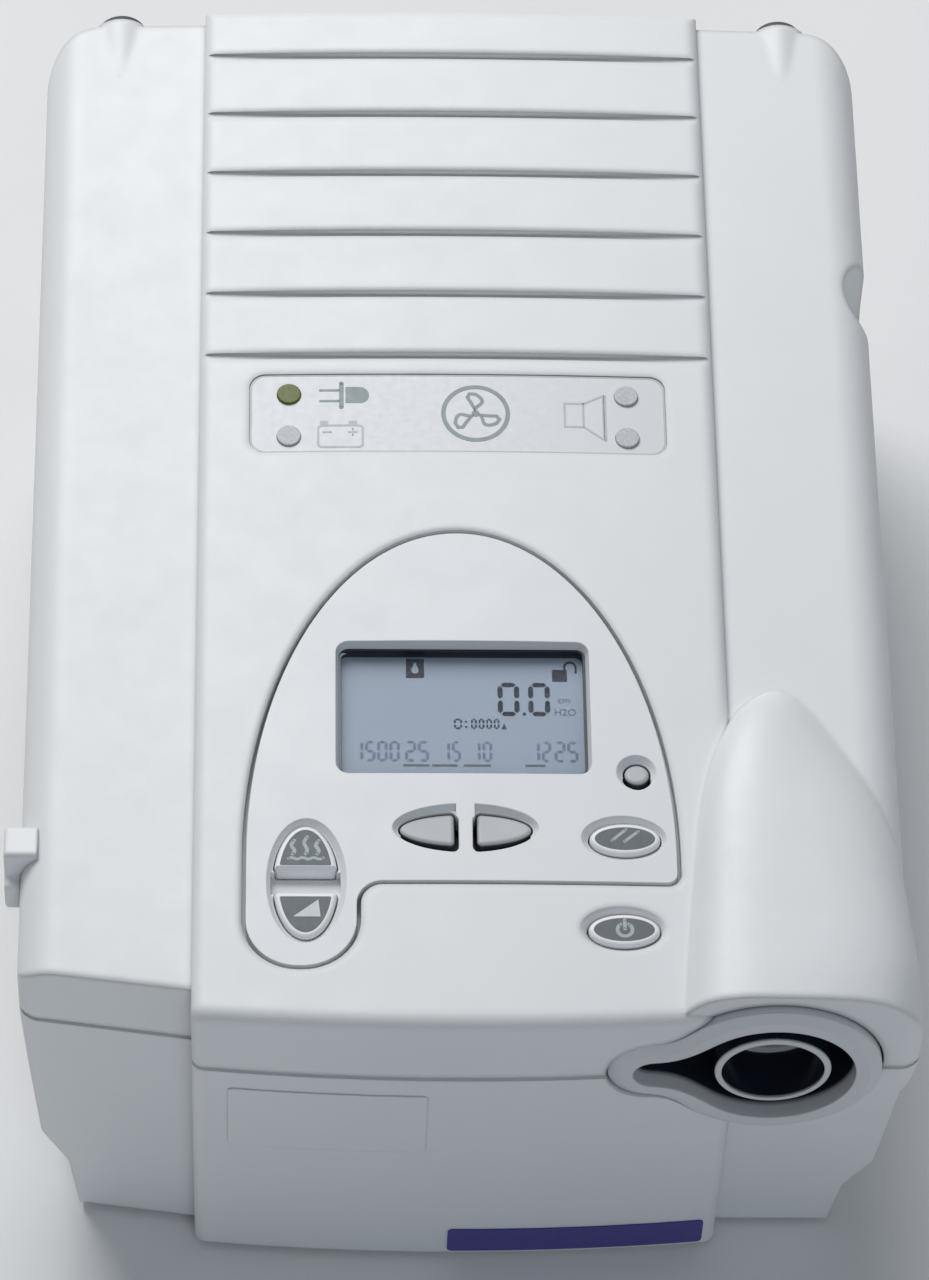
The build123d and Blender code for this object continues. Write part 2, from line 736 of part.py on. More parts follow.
def front_sheet(x, z):
    """A sheet laid on the bowed centre front, between pairs of X and Z."""
    with BuildPart() as sheet:
        with BuildSketch(ACROSS_FRONT):
            with BuildLine():
                ThreePointArc((-PANEL, 0), (0, -FRONT_BOW), (PANEL, 0))
                Line((PANEL, 0), (PANEL, -SHEET_T))
                ThreePointArc((PANEL, -SHEET_T), (0, -FRONT_BOW - SHEET_T), (-PANEL, -SHEET_T))
                Line((-PANEL, -SHEET_T), (-PANEL, 0))
            make_face()
        extrude(amount=SEAM_Z * 2, both=True)
        with BuildSketch(facing_front(0)):
            with Locations(((x[0] + x[1]) / 2, (z[0] + z[1]) / 2)):
                RectangleRounded(x[1] - x[0], z[1] - z[0], SHEET_R)
        extrude(amount=BACK_Y * 2, mode=Mode.INTERSECT)
    return sheet.part


# ---- Keys: where they are and the openings they need ----

Key = namedtuple("Key", "name at axes side gap hangs_from inlay")
KEYS = [
    Key("humidifier_key", SPLIT_AT, (SPLIT_X, SPLIT_Y), (0, 1), SPLIT_GAP, INSERT_T, "humidifier_inlay"),
    Key("ramp_key", SPLIT_AT, (SPLIT_X, SPLIT_Y), (0, -1), SPLIT_GAP, INSERT_T, "ramp_inlay"),
    Key("left_key", PAIR_AT, (PAIR_X, PAIR_Y), (-1, 0), PAIR_GAP, INSERT_T, None),
    Key("right_key", PAIR_AT, (PAIR_X, PAIR_Y), (1, 0), PAIR_GAP, INSERT_T, None),
    Key("light_key", LIGHT_KEY_AT, (LIGHT_KEY_R, LIGHT_KEY_R), (0, 0), 0, INSERT_T, None),
    Key("silence_key", SILENCE_AT, (OVAL_X, OVAL_Y), (0, 0), 0, INSERT_T, "silence_inlay"),
    Key("standby_key", STANDBY_AT, (OVAL_X, OVAL_Y), (0, 0), 0, COVER_T, "standby_inlay"),
]


def key_face(key, grow):
    """Outline of a key, grown on every side: a whole ellipse, or its half on the key's side."""
    x, y = on_top(*key.at)
    reach = 2 * max(key.axes)
    away = key.gap / 2 - grow + reach
    with BuildSketch(Plane.XY) as outline:
        with Locations((x, y)):
            Ellipse(key.axes[0] + grow, key.axes[1] + grow)
        if any(key.side):
            with Locations((x + key.side[0] * away, y + key.side[1] * away)):
                Rectangle(2 * reach, 2 * reach, mode=Mode.INTERSECT)
            inner = vertices().sort_by(lambda v: v.X * key.side[0] + v.Y * key.side[1])[:2]
            fillet(inner, max(KEY_CORNER_R + grow, KEY_CORNER_LEAST_R))
    return outline.sketch


def key_centre(key):
    """Middle of a key, in the top plane's own coordinates."""
    half = abs(key.side[0]) * key.axes[0] + abs(key.side[1]) * key.axes[1]
    away = (half + key.gap / 2) / 2
    return on_top(key.at[0] + key.side[0] * away, key.at[1] + key.side[1] * away)


def key_openings(hangs_from):
    """Openings for the keys that hang from one underside."""
    with BuildPart() as openings:
        for key in KEYS:
            if key.hangs_from == hangs_from:
                with BuildSketch(TOP.offset(-FAR / 2)):
                    add(key_face(key, KEY_GAP))
                    if not key.inlay:
                        wider = Location((-key.side[0] * KEY_INNER_GAP, -KEY_NEAR_GAP, 0))
                        add(key_face(key, KEY_GAP).moved(wider))
                extrude(amount=FAR)
    return openings.part


def key_dishes(hangs_from):
    """Dished rims round the keys that hang from one underside.

    A bar stays between two keys side by side; between one behind the other there is a valley.
    """
    with BuildPart() as dishes:
        for key in KEYS:
            if key.hangs_from == hangs_from and min(key.side) >= 0:
                level = crown_at(key.at[0])
                for rise, grow in ((-DISH_DEPTH, DISH_FLOOR_W), (DISH_RISE, DISH_W)):
                    with BuildSketch(TOP.offset(level + rise)):
                        with Locations(on_top(*key.at)):
                            Ellipse(key.axes[0] + grow, key.axes[1] + grow)
                loft()
        for key in KEYS:
            if key.hangs_from == hangs_from and key.side[0] > 0:
                with BuildSketch(TOP.offset(-FAR / 2)):
                    with Locations(on_top(*key.at)):
                        Rectangle(key.gap - 2 * KEY_GAP, FAR)
                extrude(amount=FAR, mode=Mode.SUBTRACT)
            if key.hangs_from == hangs_from and key.side[1] > 0:
                with BuildSketch(TOP.offset(-VALLEY_DEPTH)):
                    with Locations(on_top(*key.at)):
                        Ellipse(key.axes[0] + DISH_FLOOR_W, key.axes[1] + DISH_FLOOR_W)
                        Rectangle(FAR, key.gap, mode=Mode.INTERSECT)
                extrude(amount=VALLEY_DEPTH)
    return dishes.part


def scoop(grow):
    """Form of the finger scoop: upright and round, with a ball for its bottom, grown on every side."""
    with BuildPart() as form:
        column((SCOOP_X, SCOOP_Y), (SCOOP_BALL_Z, SEAM_Z * 2), SCOOP_R + grow)
        with Locations((SCOOP_X, SCOOP_Y, SCOOP_BALL_Z)):
            Sphere(SCOOP_R + grow)
    return form.part


INSERT_OPENINGS = key_openings(INSERT_T) + key_dishes(INSERT_T)
COVER_OPENINGS = key_openings(COVER_T) + key_dishes(COVER_T)

with BuildPart() as collar_opening:
    with BuildSketch(FRONT.offset(-COLLAR_DEPTH - WALL)):
        add(teardrop_face(COLLAR_R + INSERT_GAP, COLLAR_LOBE_R + INSERT_GAP))
    extrude(amount=COLLAR_DEPTH + WALL * 4)


# ---- Top cover ----

with BuildPart() as cover_fittings:
    with BuildSketch(Plane.XY.offset(SEAM_Z)):
        with Locations(SCREWS):
            Circle(BOSS_R)
    extrude(amount=SEAM_Z)
    add(scoop(WALL))
    add(CASE_OUTER, mode=Mode.INTERSECT)

with BuildPart() as top_cover:
    add(CASE_OUTER)
    block(about(0, CASE_W * 2), about(0, BACK_Y * 4), (SEAM_Z, SEAM_Z * 2), Mode.INTERSECT)
    # bosses of the rear bumpers, which taper off under the top
    boss_back = BACK_Y - SIDE_BACK_STEP + BUMPER_BOSS_OUT
    with Locations(facing_back(boss_back - BUMPER_BOSS_L)):
        with Locations((-BUMPER_X, BUMPER_Z), (BUMPER_X, BUMPER_Z)):
            Cone(
                BUMPER_BOSS_TIP_R,
                BUMPER_BOSS_R,
                BUMPER_BOSS_L,
                align=(Align.CENTER, Align.CENTER, Align.MIN),
            )
    add(CASE_INNER, mode=Mode.SUBTRACT)
    add(cover_fittings.part)
    with BuildSketch(facing_back(boss_back - BUMPER_SUNK)):
        with Locations((-BUMPER_X, BUMPER_Z), (BUMPER_X, BUMPER_Z)):
            Circle(BUMPER_R)
    extrude(amount=FAR, mode=Mode.SUBTRACT)
    # pilot holes of the case screws
    with BuildSketch(Plane.XY.offset(SEAM_Z)):
        with Locations(SCREWS):
            Circle(SCREW_R + SCREW_PLAY)
    extrude(amount=SCREW_HEAD_Z + SCREW_L + SCREW_GAP - SEAM_Z, mode=Mode.SUBTRACT)
    add(scoop(0), mode=Mode.SUBTRACT)
    # cross grooves, from one side of the raised panel to the other
    for i in range(GROOVE_COUNT):
        with BuildSketch(TOP.offset(GROOVE_FLOOR)):
            with Locations(on_top(0, GROOVE_FIRST_Y + i * GROOVE_PITCH)):
                Rectangle(PANEL_W + WALL, GROOVE_W)
        extrude(amount=FAR, mode=Mode.SUBTRACT)
    # control panel, standby key, label and lights
    with BuildSketch(TOP.offset(-FAR / 2)):
        add(arch_face(INSERT_GAP))
    extrude(amount=FAR, mode=Mode.SUBTRACT)
    add(COVER_OPENINGS, mode=Mode.SUBTRACT)
    add(label_sheet(FIT, CROWN, LABEL_SINK + LABEL_T), mode=Mode.SUBTRACT)
    with BuildSketch(TOP.offset(-FAR / 2)):
        with Locations([on_top(*at) for at in LIGHTS]):
            Circle(LIGHT_R + LIGHT_GAP)
    extrude(amount=FAR, mode=Mode.SUBTRACT)
    add(collar_opening.part, mode=Mode.SUBTRACT)
    block(FILTER_X, (DUCT_END_Y - WALL, BACK_Y + WALL), FILTER_Z, Mode.SUBTRACT)
top_cover.part.label = "top_cover"
export_step(top_cover.part, "parts/top_cover.step")

# ---- Bottom enclosure ----

with BuildPart() as enclosure_fittings:
    with BuildSketch(Plane.XY.offset(BASE_Z)):
        with Locations(SCREWS):
            Circle(LOWER_BOSS_R)
    extrude(amount=SEAM_Z - BASE_Z)
    with BuildSketch(Plane.XY.offset(BASE_Z)):
        with Locations(MOUNTS):
            Circle(MOUNT_R)
    extrude(amount=MOUNT_SEAT_Z - BASE_Z)
    for board in (MAIN_HOLES, POWER_HOLES):
        with BuildSketch(Plane.XY.offset(BASE_Z)):
            with Locations(board):
                Circle(STANDOFF_R)
        extrude(amount=BOARD_Z - BASE_Z)
        with BuildSketch(Plane.XY.offset(BASE_Z)):
            with Locations(board):
                Circle(PEG_R)
        extrude(amount=BOARD_TOP_Z - BASE_Z)
    add(CASE_OUTER, mode=Mode.INTERSECT)

with BuildPart() as seam_rim:
    add(SEAM_CORE)
    block(about(0, CASE_W * 2), about(0, BACK_Y * 4), (SEAM_Z - SEAM_REVEAL, SEAM_Z), Mode.INTERSECT)

with BuildPart() as bottom_enclosure:
    add(CASE_OUTER)
    block(about(0, CASE_W * 2), about(0, BACK_Y * 4), (0, SEAM_Z - SEAM_REVEAL), Mode.INTERSECT)
    add(seam_rim.part)
    add(CASE_INNER, mode=Mode.SUBTRACT)
    add(enclosure_fittings.part)
    # wells and clearance holes of the case screws
    with BuildSketch(Plane.XY):
        with Locations(SCREWS):
            Circle(SCREW_HEAD_R + SCREW_GAP)
    extrude(amount=SCREW_HEAD_Z, mode=Mode.SUBTRACT)
    with BuildSketch(Plane.XY):
        with Locations(SCREWS):
            Circle(SCREW_R + SCREW_GAP)
    extrude(amount=SEAM_Z + WALL, mode=Mode.SUBTRACT)
    # seats of the feet
    with BuildSketch(Plane.XY):
        with Locations(FEET):
            Circle(FOOT_R)
    extrude(amount=FOOT_T, mode=Mode.SUBTRACT)
    # back connectors
    back = (BACK_Y - WALL * 2, BACK_Y + WALL)
    block(about(AC_X, AC_W), back, about(AC_Z, AC_H), Mode.SUBTRACT)
    block(about(DC_X, DC_W), back, about(DC_Z, DC_W), Mode.SUBTRACT)
    block(about(DATA_X, DATA_W - 2 * LIP_W), back, about(DATA_Z, DATA_H - 2 * LIP_W), Mode.SUBTRACT)
    add(collar_opening.part, mode=Mode.SUBTRACT)
bottom_enclosure.part.label = "bottom_enclosure"
export_step(bottom_enclosure.part, "parts/bottom_enclosure.step")

# ---- Outlet collar and port ----

with BuildPart() as collar_recess:
    for rise, taper in ((COLLAR_FLOOR_T - COLLAR_DEPTH, RECESS_TAPER), (COLLAR_PROUD + RECESS_TAPER, 0)):
        with BuildSketch(FRONT.offset(rise)):
            add(teardrop_face(RECESS_R - taper, RECESS_LOBE_R - taper))
    loft()
    # the floor of the lobe is a ramp
    with BuildSketch(Plane(FRONT.from_local_coords((0, PORT_UP, 0)), x_dir=(1, 0, 0), z_dir=-FRONT.y_dir)):
        with BuildLine():
            Polyline(
                (RAMP[0][0] - COLLAR_LOBE_R, RAMP[0][1]),
                *RAMP,
                (RAMP[-1][0], -COLLAR_DEPTH),
                (RAMP[0][0] - COLLAR_LOBE_R, -COLLAR_DEPTH),
                close=True,
            )
        make_face()
    extrude(amount=COLLAR_R, both=True, mode=Mode.SUBTRACT)

with BuildPart() as outlet_collar:
    with BuildSketch(FRONT.offset(-COLLAR_DEPTH)):
        add(teardrop_face(COLLAR_R, COLLAR_LOBE_R))
    extrude(amount=COLLAR_DEPTH + COLLAR_EDGE)
    for rise, fall in ((COLLAR_EDGE, 0), (COLLAR_PROUD, RIM_FALL)):
        with BuildSketch(FRONT.offset(rise)):
            add(teardrop_face(COLLAR_R - fall, COLLAR_LOBE_R - fall))
    loft()
    add(collar_recess.part, mode=Mode.SUBTRACT)
    with BuildSketch(FRONT.offset(-COLLAR_DEPTH)):
        with Locations((PORT_X, PORT_UP)):
            Circle(PORT_R + PORT_GAP)
    extrude(amount=COLLAR_DEPTH + FAR, mode=Mode.SUBTRACT)
outlet_collar.part.label = "outlet_collar"
export_step(outlet_collar.part, "parts/outlet_collar.step")


def port_disc(radius, depths, mode=Mode.ADD):
    """A cylinder on the port's axis, between a pair of depths."""
    with Locations(FRONT.offset(depths[0])):
        with Locations((PORT_X, PORT_UP)):
            Cylinder(
                radius,
                depths[1] - depths[0],
                align=(Align.CENTER, Align.CENTER, Align.MIN),
                mode=mode,
            )


TUBE_AT = FRONT.from_local_coords((PORT_X - TUBE_IN, PORT_UP, -TUBE_UP_DEPTH))

with BuildPart() as outlet_port:
    port_disc(PORT_R, (-PORT_REAR, PORT_PROUD))
    fillet(outlet_port.edges().sort_by(Axis.Y)[0], PORT_LIP_R)
    port_disc(PORT_FLANGE_R, (-COLLAR_DEPTH - PORT_FLANGE_T, -COLLAR_DEPTH))
    port_disc(PORT_STEP_R, (-PORT_REAR, 0), Mode.SUBTRACT)
    port_disc(PORT_BORE_R, (-PORT_STEP_DEPTH, PORT_PROUD), Mode.SUBTRACT)
    column((TUBE_AT.X, TUBE_AT.Y), (TUBE_AT.Z - PORT_R * 2, TUBE_AT.Z), TUBE_BORE_R, Mode.SUBTRACT)
outlet_port.part.label = "outlet_port"
export_step(outlet_port.part, "parts/outlet_port.step")

# ---- Control panel and display ----

with BuildPart() as control_panel:
    with BuildSketch(TOP.offset(-INSERT_T)):
        add(arch_face(-INSERT_GAP))
    extrude(amount=FAR)
    add(PANEL_TRIM, mode=Mode.INTERSECT)
    with BuildSketch(TOP.offset(-INSERT_T)):
        add(arch_face(FLANGE_W - INSERT_GAP))
    extrude(amount=INSERT_T - COVER_T)
    # bevelled window opening, and the pocket that the display plates sit in
    for rise, grow in ((-WINDOW_DEPTH, 0), (CROWN, SCREEN_BEVEL)):
        with BuildSketch(TOP.offset(rise)):
            add(screen_face(grow))
    loft(mode=Mode.SUBTRACT)
    with BuildSketch(TOP.offset(-INSERT_T)):
        add(screen_face(DISPLAY_EDGE + FIT))
    extrude(amount=INSERT_T - WINDOW_DEPTH, mode=Mode.SUBTRACT)
    add(INSERT_OPENINGS, mode=Mode.SUBTRACT)
    # posts that hold the control board
    with BuildSketch(TOP.offset(-BOARD_DEPTH)):
        with Locations([on_top(*at) for at in POSTS]):
            Circle(POST_R)
    extrude(amount=BOARD_DEPTH - INSERT_T)
control_panel.part.label = "control_panel"
export_step(control_panel.part, "parts/control_panel.step")

with BuildPart() as lcd_window:
    with BuildSketch(TOP.offset(-WINDOW_DEPTH - WINDOW_T)):
        add(screen_face(DISPLAY_EDGE))
    extrude(amount=WINDOW_T)
lcd_window.part.label = "lcd_window"
export_step(lcd_window.part, "parts/lcd_window.step")

with BuildPart() as lcd_module:
    with BuildSketch(TOP.offset(-WINDOW_DEPTH - WINDOW_T - DISPLAY_T)):
        add(screen_face(DISPLAY_EDGE))
    extrude(amount=DISPLAY_T)
lcd_module.part.label = "lcd_module"
export_step(lcd_module.part, "parts/lcd_module.step")

with BuildPart() as lcd_backlight:
    with BuildSketch(TOP.offset(-BOARD_DEPTH)):
        add(screen_face(DISPLAY_EDGE))
    extrude(amount=BOARD_DEPTH - WINDOW_DEPTH - WINDOW_T - DISPLAY_T)
lcd_backlight.part.label = "lcd_backlight"
export_step(lcd_backlight.part, "parts/lcd_backlight.step")

# ---- Indicator label and lights ----

with BuildPart() as indicator_label:
    add(label_sheet(0, -LABEL_SINK, LABEL_SINK + LABEL_T))
    with BuildSketch(TOP.offset(-FAR / 2)):
        with Locations([on_top(*at) for at in LIGHTS]):
            Circle(LIGHT_R + LIGHT_GAP)
    extrude(amount=FAR, mode=Mode.SUBTRACT)
indicator_label.part.label = "indicator_label"
export_step(indicator_label.part, "parts/indicator_label.step")


def lamp(at):
    """One light: a lens that stands in its hole on a flange under the cover."""
    with BuildPart() as light:
        with BuildSketch(TOP.offset(-LIGHT_DEPTH)):
            with Locations(on_top(*at)):
                Circle(LIGHT_R)
        extrude(amount=LIGHT_DEPTH + crown_at(at[0]) + LIGHT_PROUD)
        fillet(light.edges().sort_by(Axis.Z)[-1], LIGHT_PROUD)
        with BuildSketch(TOP.offset(-LIGHT_DEPTH)):
            with Locations(on_top(*at)):
                Circle(LIGHT_R + LIGHT_FLANGE_W)
        extrude(amount=LIGHT_DEPTH - COVER_T)
    return light.part


MAINS_AT = (-LIGHT_X, LIGHT_Y[0])
mains_lamp = lamp(MAINS_AT)
status_lamps = [lamp(at) for at in LIGHTS if at != MAINS_AT]

with BuildPart() as mains_light:
    add(mains_lamp)
mains_light.part.label = "mains_light"
export_step(mains_light.part, "parts/mains_light.step")

with BuildPart() as status_lights:
    for each in status_lamps:
        add(each)
status_lights.part.label = "status_lights"
export_step(status_lights.part, "parts/status_lights.step")

# ---- Keys and their inlays ----

for key in KEYS:
    key_top = crown_at(key.at[0]) - KEY_SINK
    flange = -key.hangs_from - KEY_GAP - KEY_FLANGE_T
    with BuildPart() as cap:
        with BuildSketch(TOP.offset(flange)):
            add(key_face(key, 0))
        if key.inlay:
            extrude(amount=key_top - flange)
        else:
            extrude(amount=FAR)
            middle = TOP.from_local_coords((*key_centre(key), key_top + KEY_SINK - PLAIN_SINK))
            tilt = radians(SLOPE - PLAIN_TILT)
            with BuildSketch(Plane(origin=middle, x_dir=(1, 0, 0), z_dir=(0, -sin(tilt), cos(tilt)))):
                Rectangle(FAR, FAR)
            extrude(amount=FAR * 2, mode=Mode.SUBTRACT)
        fillet(cap.faces().sort_by(Axis.Z)[-1].edges(), KEY_ROUND)
        if key.side[1] > 0:
            near = on_top(key.at[0], key.at[1])[1] + key.gap / 2
            start = TOP.from_local_coords((on_top(*key.at)[0], near + SPLIT_SLOPE_W, key_top))
            tilt = radians(SLOPE + SPLIT_SLOPE)
            with BuildSketch(Plane(origin=start, x_dir=(1, 0, 0), z_dir=(0, -sin(tilt), cos(tilt)))):
                Rectangle(FAR, FAR)
            extrude(amount=FAR, mode=Mode.SUBTRACT)
        with BuildSketch(TOP.offset(flange)):
            add(key_face(key, KEY_FLANGE_W))
        extrude(amount=KEY_FLANGE_T)
        if flange - KEY_BOTTOM > FIT:
            with BuildSketch(TOP.offset(KEY_BOTTOM)):
                with Locations(key_centre(key)):
                    Circle(STEM_R)
            extrude(amount=flange - KEY_BOTTOM)
        if key.inlay:
            with BuildSketch(TOP.offset(key_top - INLAY_T)):
                add(key_face(key, -INLAY_EDGE))
            extrude(amount=INLAY_T * 2, mode=Mode.SUBTRACT)
    cap.part.label = key.name
    export_step(cap.part, f"parts/{key.name}.step")

for key in KEYS:
    if key.inlay:
        with BuildPart() as inlay:
            with BuildSketch(TOP.offset(crown_at(key.at[0]) - KEY_SINK - INLAY_T)):
                add(key_face(key, -INLAY_EDGE))
            extrude(amount=INLAY_T)
        inlay.part.label = key.inlay
        export_step(inlay.part, f"parts/{key.inlay}.step")

# ---- Under the keys ----

MAT_BOTTOM = -BOARD_DEPTH + SWITCH_H
SWITCH_SPOTS = [key_centre(key) for key in KEYS]
POST_SPOTS = [on_top(*at) for at in POSTS]

with BuildPart() as keypad_mat:
    with BuildSketch(TOP.offset(MAT_BOTTOM)):
        front = on_top(0, BOARD_FRONT_Y)[1]
        back = on_top(0, MAT_BACK_Y)[1]
        tab = on_top(0, MAT_TAB_Y)[1]
        with Locations((0, front)):
            Rectangle(MAT_W, back - front, align=(Align.CENTER, Align.MIN))
        with Locations((MAT_TAB_X[0], front)):
            Rectangle(MAT_TAB_X[1] - MAT_TAB_X[0], tab - front, align=(Align.MIN, Align.MIN))
        with Locations(SWITCH_SPOTS):
            Circle(PLUNGER_R + MAT_GAP, mode=Mode.SUBTRACT)
        with Locations(POST_SPOTS):
            Circle(POST_R + MAT_GAP, mode=Mode.SUBTRACT)
    extrude(amount=MAT_T)
keypad_mat.part.label = "keypad_mat"
export_step(keypad_mat.part, "parts/keypad_mat.step")

with BuildPart() as key_switches:
    with BuildSketch(TOP.offset(-BOARD_DEPTH)):
        with Locations(SWITCH_SPOTS):
            Rectangle(SWITCH_W, SWITCH_W)
    extrude(amount=SWITCH_H)
    with BuildSketch(TOP.offset(MAT_BOTTOM)):
        with Locations(SWITCH_SPOTS):
            Circle(PLUNGER_R)
    extrude(amount=MAT_T)
key_switches.part.label = "key_switches"
export_step(key_switches.part, "parts/key_switches.step")

with BuildPart() as control_board:
    with BuildSketch(TOP.offset(-BOARD_DEPTH - BOARD_T)):
        front = on_top(0, BOARD_FRONT_Y)[1]
        back = on_top(0, BOARD_BACK_Y)[1]
        with Locations((0, front)):
            Rectangle(BOARD_W, back - front, align=(Align.CENTER, Align.MIN))
    extrude(amount=BOARD_T)
control_board.part.label = "control_board"
export_step(control_board.part, "parts/control_board.step")

with BuildPart() as buzzer:
    with BuildSketch(TOP.offset(-BOARD_DEPTH - BOARD_T - BUZZER_T)):
        with Locations(on_top(*BUZZER_AT)):
            Circle(BUZZER_R)
    extrude(amount=BUZZER_T)
buzzer.part.label = "buzzer"
export_step(buzzer.part, "parts/buzzer.step")

# ---- Boards in the bottom ----


def board_plate(x, y, holes):
    """A circuit board on its standoffs, with a hole over each peg."""
    with BuildPart() as plate:
        block(x, y, (BOARD_Z, BOARD_TOP_Z))
        for at in holes:
            column(at, (BOARD_Z, BOARD_TOP_Z), PEG_R + PEG_GAP, Mode.SUBTRACT)
    return plate.part


main_plate = board_plate(MAIN_X, MAIN_Y, MAIN_HOLES)
power_plate = board_plate(POWER_X, POWER_Y, POWER_HOLES)

with BuildPart() as main_board:
    add(main_plate)
main_board.part.label = "main_board"
export_step(main_board.part, "parts/main_board.step")

with BuildPart() as main_components:
    for x, y, width, length, height in MAIN_PARTS:
        block(about(x, width), about(y, length), (BOARD_TOP_Z, BOARD_TOP_Z + height))
main_components.part.label = "main_components"
export_step(main_components.part, "parts/main_components.step")

with BuildPart() as flow_sensor:
    sensor = about(TUBE_AT.X, SENSOR_SIZE[0]), about(TUBE_AT.Y, SENSOR_SIZE[1])
    block(*sensor, (BOARD_TOP_Z, BOARD_TOP_Z + SENSOR_SIZE[2]))
    column((TUBE_AT.X, TUBE_AT.Y), (BOARD_TOP_Z + SENSOR_SIZE[2] / 2, SEAM_Z), TUBE_BORE_R, Mode.SUBTRACT)
flow_sensor.part.label = "flow_sensor"
export_step(flow_sensor.part, "parts/flow_sensor.step")

with BuildPart() as pressure_tube:
    column((TUBE_AT.X, TUBE_AT.Y), (BOARD_TOP_Z + SENSOR_SIZE[2], TUBE_AT.Z), TUBE_R)
    column((TUBE_AT.X, TUBE_AT.Y), (BOARD_TOP_Z, TUBE_AT.Z), TUBE_BORE_R, Mode.SUBTRACT)
    port_disc(PORT_R, (-PORT_REAR, PORT_PROUD), Mode.SUBTRACT)
pressure_tube.part.label = "pressure_tube"
export_step(pressure_tube.part, "parts/pressure_tube.step")

with BuildPart() as panel_ribbon:
    x, y, width, length, height = MAIN_PARTS[0]
    block(about(x, RIBBON_W), about(y, RIBBON_T), (BOARD_TOP_Z + height, FRONT_TOP_Z * 2))
    with BuildSketch(TOP.offset(-BOARD_DEPTH - BOARD_T)):
        Rectangle(CASE_W, BACK_Y * 4)
    extrude(amount=FRONT_TOP_Z * 2, mode=Mode.SUBTRACT)
panel_ribbon.part.label = "panel_ribbon"
export_step(panel_ribbon.part, "parts/panel_ribbon.step")

with BuildPart() as power_board:
    add(power_plate)
power_board.part.label = "power_board"
export_step(power_board.part, "parts/power_board.step")

with BuildPart() as power_components:
    for share, y, radius, height in POWER_CANS:
        column((POWER_X[0] + share * POWER_W, y), (BOARD_TOP_Z, BOARD_TOP_Z + height), radius)
    for share, y, width, length, height in POWER_PARTS:
        x = POWER_X[0] + share * POWER_W
        block(about(x, width), about(y, length), (BOARD_TOP_Z, BOARD_TOP_Z + height))
power_components.part.label = "power_components"
export_step(power_components.part, "parts/power_components.step")

with BuildPart() as transformer:
    share, y = TRANSFORMER_AT
    x = POWER_X[0] + share * POWER_W
    block(about(x, CORE_W), about(y, CORE_L), (BOARD_TOP_Z, BOARD_TOP_Z + CORE_H))
    block(about(x, COIL_W), about(y, COIL_L), (BOARD_TOP_Z, BOARD_TOP_Z + COIL_H))
transformer.part.label = "transformer"
export_step(transformer.part, "parts/transformer.step")

# ---- Blower ----

with BuildPart() as volute:
    column(BLOWER_AT, (VOLUTE_BOTTOM_Z, VOLUTE_TOP_Z), VOLUTE_R)
    outlet_z = about(VOLUTE_SPLIT_Z, OUTLET_W)
    block(about(OUTLET_X, OUTLET_W), (OUTLET_Y, BLOWER_Y), outlet_z)
    column(BLOWER_AT, (VOLUTE_TOP_Z, NECK_TOP_Z), INLET_R + NECK_T)
    for at in MOUNTS:
        column(at, (VOLUTE_BOTTOM_Z, VOLUTE_BOTTOM_Z + EAR_T), EAR_R)
    inside_z = (VOLUTE_BOTTOM_Z + VOLUTE_WALL, VOLUTE_TOP_Z - VOLUTE_WALL)
    column(BLOWER_AT, inside_z, VOLUTE_R - VOLUTE_WALL, Mode.SUBTRACT)
    bore = OUTLET_W - 2 * VOLUTE_WALL
    block(about(OUTLET_X, bore), (OUTLET_Y, BLOWER_Y), about(VOLUTE_SPLIT_Z, bore), Mode.SUBTRACT)
    column(BLOWER_AT, (inside_z[1], NECK_TOP_Z), INLET_R, Mode.SUBTRACT)
    column(BLOWER_AT, (VOLUTE_BOTTOM_Z, inside_z[0]), BEARING_R, Mode.SUBTRACT)

with BuildPart() as volute_lower:
    add(volute.part)
    split(bisect_by=Plane.XY.offset(VOLUTE_SPLIT_Z), keep=Keep.BOTTOM)
volute_lower.part.label = "volute_lower"
export_step(volute_lower.part, "parts/volute_lower.step")

with BuildPart() as volute_upper:
    add(volute.part)
    split(bisect_by=Plane.XY.offset(VOLUTE_SPLIT_Z), keep=Keep.TOP)
volute_upper.part.label = "volute_upper"
export_step(volute_upper.part, "parts/volute_upper.step")

with BuildPart() as impeller:
    disc_top = IMPELLER_Z + IMPELLER_DISC_T
    column(BLOWER_AT, (IMPELLER_Z, disc_top), IMPELLER_R)
    column(BLOWER_AT, (HUB_BOTTOM_Z, HUB_TOP_Z), HUB_R)
    with BuildSketch(Plane.XY.offset(disc_top)):
        with Locations(BLOWER_AT):
            with PolarLocations(0, BLADE_COUNT):
                with Locations(Location((HUB_R, 0), BLADE_SWEEP)):
                    Rectangle(BLADE_L, BLADE_T, align=(Align.MIN, Align.CENTER))
    extrude(amount=BLADE_TOP_Z - disc_top)
    column(BLOWER_AT, (HUB_BOTTOM_Z, HUB_TOP_Z), SHAFT_R, Mode.SUBTRACT)
impeller.part.label = "impeller"
export_step(impeller.part, "parts/impeller.step")

with BuildPart() as motor_can:
    column(BLOWER_AT, (MOTOR_BOTTOM_Z, VOLUTE_BOTTOM_Z), MOTOR_R)
    column(BLOWER_AT, (MOTOR_BOTTOM_Z + BEARING_T, VOLUTE_BOTTOM_Z), MOTOR_R - MOTOR_WALL, Mode.SUBTRACT)
    column(BLOWER_AT, (MOTOR_BOTTOM_Z, MOTOR_BOTTOM_Z + BEARING_T), BEARING_R, Mode.SUBTRACT)
motor_can.part.label = "motor_can"
export_step(motor_can.part, "parts/motor_can.step")

with BuildPart() as motor_stator:
    column(BLOWER_AT, STATOR_Z, MOTOR_R - MOTOR_WALL - STATOR_FIT)
    column(BLOWER_AT, STATOR_Z, STATOR_BORE_R, Mode.SUBTRACT)
motor_stator.part.label = "motor_stator"
export_step(motor_stator.part, "parts/motor_stator.step")

